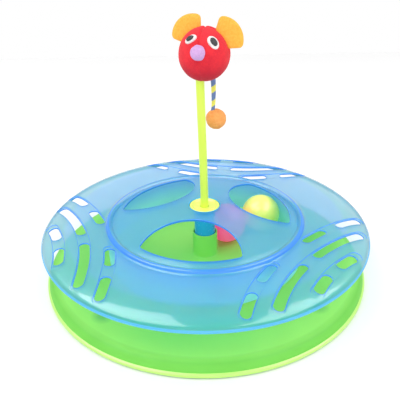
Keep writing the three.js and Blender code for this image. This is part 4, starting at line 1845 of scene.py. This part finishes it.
@dataclass
class Ears:
    """The two ears: flat felt pieces with two round corners, standing out of the head's seam."""

    base: float = 9.0  # half the width at the root
    root_inset: float = 1.6
    root_level: float = 15.0
    middle_level: float = 21.0
    corner: float = 3.2
    corner_at: Span = (8.55, 22.3)
    bow: float = 14.8
    bow_at: float = 14.5
    felt: float = 1.6
    cup: float = 0.5
    cup_half: float = 12.0
    tilt: float = 6.0
    facing: float = -15.5
    flare: float = -0.43
    places: dict[Side, Span] = field(  # angle in the face's plane, how far the ear is drawn out of the head
        default_factory=lambda: {Side.LEFT: (127.0, -1.2), Side.RIGHT: (39.0, 0.4)}
    )

    def outline(self) -> Array:
        """The flat outline, heights counted from the head's middle: root, corner, bow, corner, root."""
        side, level = self.corner_at
        root = self.base - self.root_inset
        turn = math.atan2(level - self.bow_at, side)
        corner = np.linspace(self.flare, turn, 12)
        bow = np.linspace(turn, np.pi - turn, 36)[1:-1]
        right = np.column_stack([side + self.corner * np.cos(corner), level + self.corner * np.sin(corner)])
        edge = np.linspace([root, self.root_level], right[0], 8)[:-1]
        top = np.column_stack([self.bow * np.cos(bow), self.bow_at + self.bow * np.sin(bow)])
        left = right[::-1] * [-1, 1]
        foot = np.column_stack([np.linspace(-root, root, 14)[1:-1], np.full(12, self.root_level)])
        return np.vstack([edge, right, top, left, edge[::-1] * [-1, 1], foot])

    def shell(self, angle: float, rise: float, centre: Sequence[float]) -> Shell:
        """The ear as two rounded faces: rows shrink towards the middle as the felt rises to full thickness.

        At share u of the way out, half the thickness is felt / 2 times (1 - u ^ 8) ^ (1 / 2).

        Args:
            angle: where it stands in the face's plane, in degrees.
            rise: how far it is drawn out of the head.
            centre: the head's middle.

        Returns:
            The ear.
        """
        flat = self.outline() + np.array([0, rise])
        middle = np.array([0, self.middle_level + rise])
        shell = Shell()
        turn = math.radians(angle - 90)
        lean = math.radians(90 - self.tilt)
        face = math.radians(self.facing)
        cosine, sine = math.cos(lean), math.sin(lean)
        back = np.array([[1, 0, 0], [0, cosine, -sine], [0, sine, cosine]])
        place = turned_level(face) @ back @ turned_level(turn)

        def row(share: float, sign: float) -> tuple[Array, Array]:
            """Points of one row of a face.

            Args:
                share: how far out it lies.
                sign: 1 for the front face, -1 for the back.

            Returns:
                Their places and their normals.
            """
            spot = middle + share * (flat - middle)
            half = sign * self.felt / 2 * math.sqrt(max(0.0, 1 - share**8))
            cup = self.cup * (1 - (spot[:, 0] / self.cup_half) ** 2)
            local = np.column_stack([spot, half + cup])
            return local @ place.T + np.array(centre), np.tile(sign * place[:, 2], (len(flat), 1))

        shares = [0.12, 0.3, 0.5, 0.7, 0.85, 0.93, 0.97, 0.99]
        front = [shell.add(*row(share, 1.0)) for share in shares]
        rear = [shell.add(*row(share, -1.0)) for share in shares]
        out = (flat - middle) / np.linalg.norm(flat - middle, axis=1, keepdims=True)
        rim_place, _ = row(1.0, 1.0)
        rim = shell.add(rim_place, np.column_stack([out, np.zeros(len(out))]) @ place.T)
        poles = [row(0.0, sign)[0][0] for sign in (1.0, -1.0)]
        shell.seal([*front, rim, *rear[::-1]], poles, [place[:, 2], -place[:, 2]])
        return shell


def felted_ball(centre: Array, radius: float, seed: int, rough: float = 0.22) -> Shell:
    """A rolled wool ball: a sphere whose radius swells by soft lumps.

    Args:
        centre: its middle.
        radius: its mean radius.
        seed: of the lumps.
        rough: height of the lumps.

    Returns:
        The ball as a grid from pole to pole.
    """
    around, down = 96, 60
    large, small, share = 5.0, 1.8, 0.4
    shell = Shell()
    round_axis = np.column_stack(ring_points(1.0, around))
    rows = []
    for fall in np.linspace(0, np.pi, down + 1)[1:-1]:
        way = np.column_stack([round_axis * math.sin(fall), np.full(around, math.cos(fall))])
        swell = lumps(way * radius, large, seed) + share * lumps(way * radius, small, seed + 1)
        rows.append(shell.add(centre + way * (radius + rough * swell)[:, None], way))
    poles = np.array([[0, 0, 1.0], [0, 0, -1.0]])
    shell.seal(rows, centre + radius * poles, poles)
    return shell


def soft_normals(thing: bpy.types.Object) -> None:
    """Lets a soft piece take its normals from its faces in place of the plain shape's."""
    with bpy.context.temp_override(object=thing, active_object=thing, selected_objects=[thing]):
        bpy.ops.mesh.customdata_custom_splitnormals_clear()


@dataclass
class Mouse:
    """The head, face and ears, put together."""

    head: Head = field(default_factory=Head)
    face: Face = field(default_factory=Face)
    ears: Ears = field(default_factory=Ears)

    def build(self) -> None:
        """Makes the head, its patches, its nose and its ears."""
        cloth = HEAD_CLOTH.make()
        ball = dress(self.head.ball().made("head_stuffed"), "mast", "head_cloth", [cloth], "head")
        soft_normals(ball)
        eye_felt, pupil_felt, ear_felt = EYE_FELT.make(), PUPIL_FELT.make(), EAR_FELT.make()
        for side, (azimuth, elevation, roll) in self.face.eyes.items():
            look = self.head.frame_at(azimuth, elevation, roll)
            eye = self.head.patch(self.face.eye[side], look, 0.0, self.face.eye_level)
            pupil = self.head.patch(self.face.pupil[side], look, self.face.eye_level, self.face.pupil_level)
            name = side.value
            white = eye.made(f"eye_patch_{name}")
            dark = pupil.made(f"pupil_patch_{name}")
            soft_normals(dress(white, "mast", "eye_felt", [eye_felt], f"eye_{name}"))
            soft_normals(dress(dark, "mast", "pupil_felt", [pupil_felt], f"pupil_{name}"))
        azimuth, elevation = self.face.nose_place
        out = self.head.frame_at(azimuth, elevation, 0)[2]
        centre = np.array(self.head.centre) + out * (self.head.radius + self.face.nose_proud)
        nose = felted_ball(centre, self.face.nose_radius, seed=11)
        soft_normals(dress(nose.made("nose_ball"), "mast", "nose_felt", [NOSE_FELT.make()], "nose"))
        for side, (angle, rise) in self.ears.places.items():
            made = self.ears.shell(angle, rise, self.head.centre).made(f"ear_felt_{side.value}")
            ear = dress(made, "mast", "ear_felt", [ear_felt], f"ear_{side.value}")
            soft_normals(ear)


# Tail


@dataclass
class Tail:
    """The limp cord sewn to the back of the head, with a felt ball on its end."""

    diameter: float = 3.6
    end_diameter: float = 2.7
    end_bulge: float = 0.3
    ball_radius: float = 7.5
    ball_centre: Place = (9.6, 15.0, 117.6)
    route: tuple[Place, ...] = (
        (5.6, 12.4, 156.8),
        (6.3, 14.3, 154.4),
        (7.0, 15.2, 151.2),
        (7.6, 15.3, 147.0),
        (7.9, 15.0, 139.5),
        (7.8, 15.0, 131.0),
        (7.5, 15.0, 126.3),
        (7.1, 15.0, 124.2),
    )

    def tube(self) -> tuple[bpy.types.Object, Array]:
        """Carries a circle along the route, thinner towards the ball.

        A ring's point is the route's point plus its radius times (cosine times one cross direction plus
        sine times the other). The cross directions are X made square to the route, and their product.

        Returns:
            The cord, and the points of its middle line in metres.
        """
        path = centripetal_curve(np.array(self.route), 12)
        step = np.linalg.norm(np.diff(path, axis=0), axis=1)
        along = np.concatenate([[0], np.cumsum(step)])
        way = unit(np.gradient(path, axis=0))
        across = unit(np.array([[1.0, 0, 0]]) - way * way[:, :1])
        other = np.cross(way, across)
        narrowing = smooth_step(along / along[-1] * 1.5 - 0.5)
        radius = self.diameter / 2 + (self.end_diameter - self.diameter) / 2 * narrowing
        around = 32
        cosine, sine = (share[None, :, None] for share in ring_points(1.0, around))
        circle = cosine * across[:, None] + sine * other[:, None]
        points = path[:, None] + radius[:, None, None] * circle
        shell = Shell()
        rows = [shell.add(row, facing) for row, facing in zip(points, circle)]
        ends = [path[0] - self.end_bulge * way[0], path[-1] + self.end_bulge * way[-1]]
        shell.seal(rows, ends, [-way[0], way[-1]])
        u = np.tile(np.arange(around) / around, len(path))
        v = np.repeat(along * MM, around)
        uv = np.vstack([np.column_stack([u, v]), [0, 0], [0, along[-1] * MM]])
        pick = np.linspace(0, len(path) - 1, 22).round().astype(int)
        log.info("tail cord: %.1f mm long", along[-1])
        return shell.made("tail_wound_cord", uv), path[pick] * MM

    def build(self) -> None:
        cord, path = self.tube()
        dress(cord, "tail", "tail_cloth", [TAIL_CORD.make()], "tail_cord")
        ball = felted_ball(np.array(self.ball_centre), self.ball_radius, seed=21, rough=0.26)
        ball = dress(ball.made("tail_wool_ball"), "tail", "tail_felt", [BALL_FELT.make()], "tail_ball")
        soft_normals(ball)


# Balls


@dataclass
class RollingBall:
    """A hollow ball with a faint mould line round its middle."""

    name: str
    node: str
    body: str
    slot: str
    finish: TintedMoulding
    orbit: float
    azimuth: float
    axis_tilt: float
    radius: float = 16.0
    level: float = 26.6
    inset: float = 0.1  # of the skin, so that the mould line stays within the ball's radius
    line_height: float = 0.12
    line_width: float = 0.35
    around: int = 160
    down: int = 96

    def build(self) -> None:
        """Makes the ball: a sphere with a bell-shaped ridge where its two halves meet."""
        angle = math.radians(self.azimuth)
        centre = np.array([self.orbit * math.cos(angle), self.orbit * math.sin(angle), self.level])
        tilt = math.radians(self.axis_tilt)
        axis = np.array([math.sin(tilt), 0, math.cos(tilt)])
        shell = Shell()
        cosine, sine = ring_points(1.0, self.around)
        side = np.array([math.cos(tilt), 0, -math.sin(tilt)])
        flat = cosine[:, None] * side + sine[:, None] * np.cross(axis, side)
        half = 0.5 * np.pi * np.sin(np.linspace(-np.pi / 2, np.pi / 2, self.down + 1)) ** 3
        rows = []
        for up in half[1:-1]:
            way = math.cos(up) * flat + math.sin(up) * axis
            ridge = self.line_height * math.exp(-((up * self.radius / self.line_width) ** 2))
            rows.append(shell.add(centre + way * (self.radius - self.inset + ridge), way))
        poles = np.array([-axis, axis])
        shell.seal(rows, centre + (self.radius - self.inset) * poles, poles)
        dress(shell.made(self.name), self.body, self.slot, [self.finish.make()], self.node)


# Scene


@dataclass
class PhotoCamera:
    """The camera at the photograph's place, in a square frame."""

    lens: float = 46.12
    place: Place = (0.0, -0.35005, 0.24026)
    right: Place = (0.9998286, 0.0001675, -0.0185127)
    down: Place = (-0.0163382, -0.4623014, -0.8865723)
    forward: Place = (-0.0087070, 0.8867228, -0.4622195)

    def build(self) -> None:
        """Makes the camera and looks through it."""
        data = bpy.data.cameras.new("photo_camera")
        data.lens = self.lens
        data.sensor_width = 36
        data.clip_start = 0.01
        camera = bpy.data.objects.new("photo_camera", data)
        bpy.context.scene.collection.objects.link(camera)
        turn = np.array([self.right, np.negative(self.down), np.negative(self.forward)]).T
        full = np.eye(4)
        full[:3, :3] = turn
        full[:3, 3] = self.place
        camera.matrix_world = Matrix(full.tolist())
        bpy.context.scene.camera = camera
        log.info("camera: lens %.2f mm", self.lens)


@dataclass(frozen=True)
class Softbox:
    """A soft rectangular lamp."""

    name: str
    place: Place
    target: Place
    size: Span
    power: float
    gloss_only: bool = False  # it shows in gloss and lights nothing else

    def build(self) -> None:
        """Makes the lamp at its place, facing its target."""
        data = bpy.data.lights.new(self.name, "AREA")
        data.shape = "RECTANGLE"
        data.size, data.size_y = self.size
        data.energy = self.power
        lamp = bpy.data.objects.new(self.name, data)
        bpy.context.scene.collection.objects.link(lamp)
        back = unit(np.array(self.place) - np.array(self.target))
        side = unit(np.cross([0, 1, 0], back))
        full = np.eye(4)
        full[:3, :3] = np.array([side, np.cross(back, side), back]).T
        full[:3, 3] = self.place
        lamp.matrix_world = Matrix(full.tolist())
        lamp.visible_diffuse = not self.gloss_only
        lamp.visible_transmission = not self.gloss_only
        log.info("lamp %s: %.1f W", self.name, self.power)


@dataclass
class Studio:
    """A white floor, a white room and soft lamps."""

    room: float = 0.8
    floor_half: float = 0.8
    lamps: tuple[Softbox, ...] = (
        Softbox("left bank", (-0.79, -0.19, 1.04), (-0.79, -0.19, 0.0), (1.23, 1.09), 6.4),
        Softbox("right bank", (0.89, -0.32, 1.04), (0.89, -0.32, 0.0), (1.02, 1.37), 5.8),
        Softbox("left gleam", (-0.79, -0.19, 1.05), (-0.79, -0.19, 0.0), (1.23, 1.09), 20.0, True),
        Softbox("right gleam", (0.89, -0.32, 1.05), (0.89, -0.32, 0.0), (1.02, 1.37), 18.0, True),
        Softbox("front fill", (0.0, -1.25, 0.3), (0.0, 0.0, 0.04), (1.1, 1.1), 4.0),
    )

    def world(self) -> None:
        """Lights the room evenly, and shows it white to the camera, in gloss and through clear plastic."""
        world = bpy.data.worlds.new("white room")
        world.use_nodes = True
        tree = world.node_tree
        tree.nodes.clear()
        ray = add_node(tree, "ShaderNodeLightPath").node.outputs
        seen = {0: ray["Is Camera Ray"], 1: ray["Is Glossy Ray"]}
        seen = add_node(tree, "ShaderNodeMath", seen, operation="MAXIMUM")
        shown = {0: seen, 1: ray["Is Transmission Ray"]}
        shown = add_node(tree, "ShaderNodeMath", shown, operation="MAXIMUM")
        ends = {"To Min": self.room, "To Max": 1.0}
        strength = add_node(tree, "ShaderNodeMapRange", {"Value": shown, **ends})
        back = add_node(tree, "ShaderNodeBackground", {"Color": (1, 1, 1, 1), "Strength": strength})
        add_node(tree, "ShaderNodeOutputWorld", {"Surface": back})
        bpy.context.scene.world = world

    def floor(self) -> None:
        """A plain white floor whose own shade keeps the board's shadow."""
        half = self.floor_half / MM
        corners = np.array([[-half, -half, 0], [half, -half, 0], [half, half, 0], [-half, half, 0]])
        mesh = mesh_from("floor", corners, np.array([[0, 1, 2, 3]]))
        floor = bpy.data.objects.new("floor", mesh)
        bpy.context.scene.collection.objects.link(floor)
        paper = bpy.data.materials.new("white paper sweep")
        paper.use_nodes = True
        tree = paper.node_tree
        tree.nodes.clear()
        shader = add_node(tree, "ShaderNodeBsdfDiffuse", {"Color": (0.98, 0.98, 0.98, 1)})
        add_node(tree, "ShaderNodeOutputMaterial", {"Surface": shader})
        mesh.materials.append(paper)

    def build(self) -> None:
        """Sets up the room, the floor and the lamps."""
        self.world()
        self.floor()
        for lamp in self.lamps:
            lamp.build()
        bpy.context.scene.view_settings.view_transform = "Standard"


def main() -> None:
    """Builds the camera, the tail, then every other piece and the studio."""
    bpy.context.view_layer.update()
    PhotoCamera().build()
    Tail().build()
    Tray().build()
    Cover().build()
    Mast().build()
    Mouse().build()
    names = ("ball_yellow_hollow", "ball_yellow", "outer_ball", "yellow_plastic")
    RollingBall(*names, YELLOW_BALL, orbit=58.55, azimuth=35.2, axis_tilt=35).build()
    names = ("ball_pink_hollow", "ball_pink", "inner_ball", "pink_plastic")
    RollingBall(*names, PINK_BALL, orbit=26.1, azimuth=45.98, axis_tilt=-50).build()
    Studio().build()


if __name__ == "__main__":
    main()
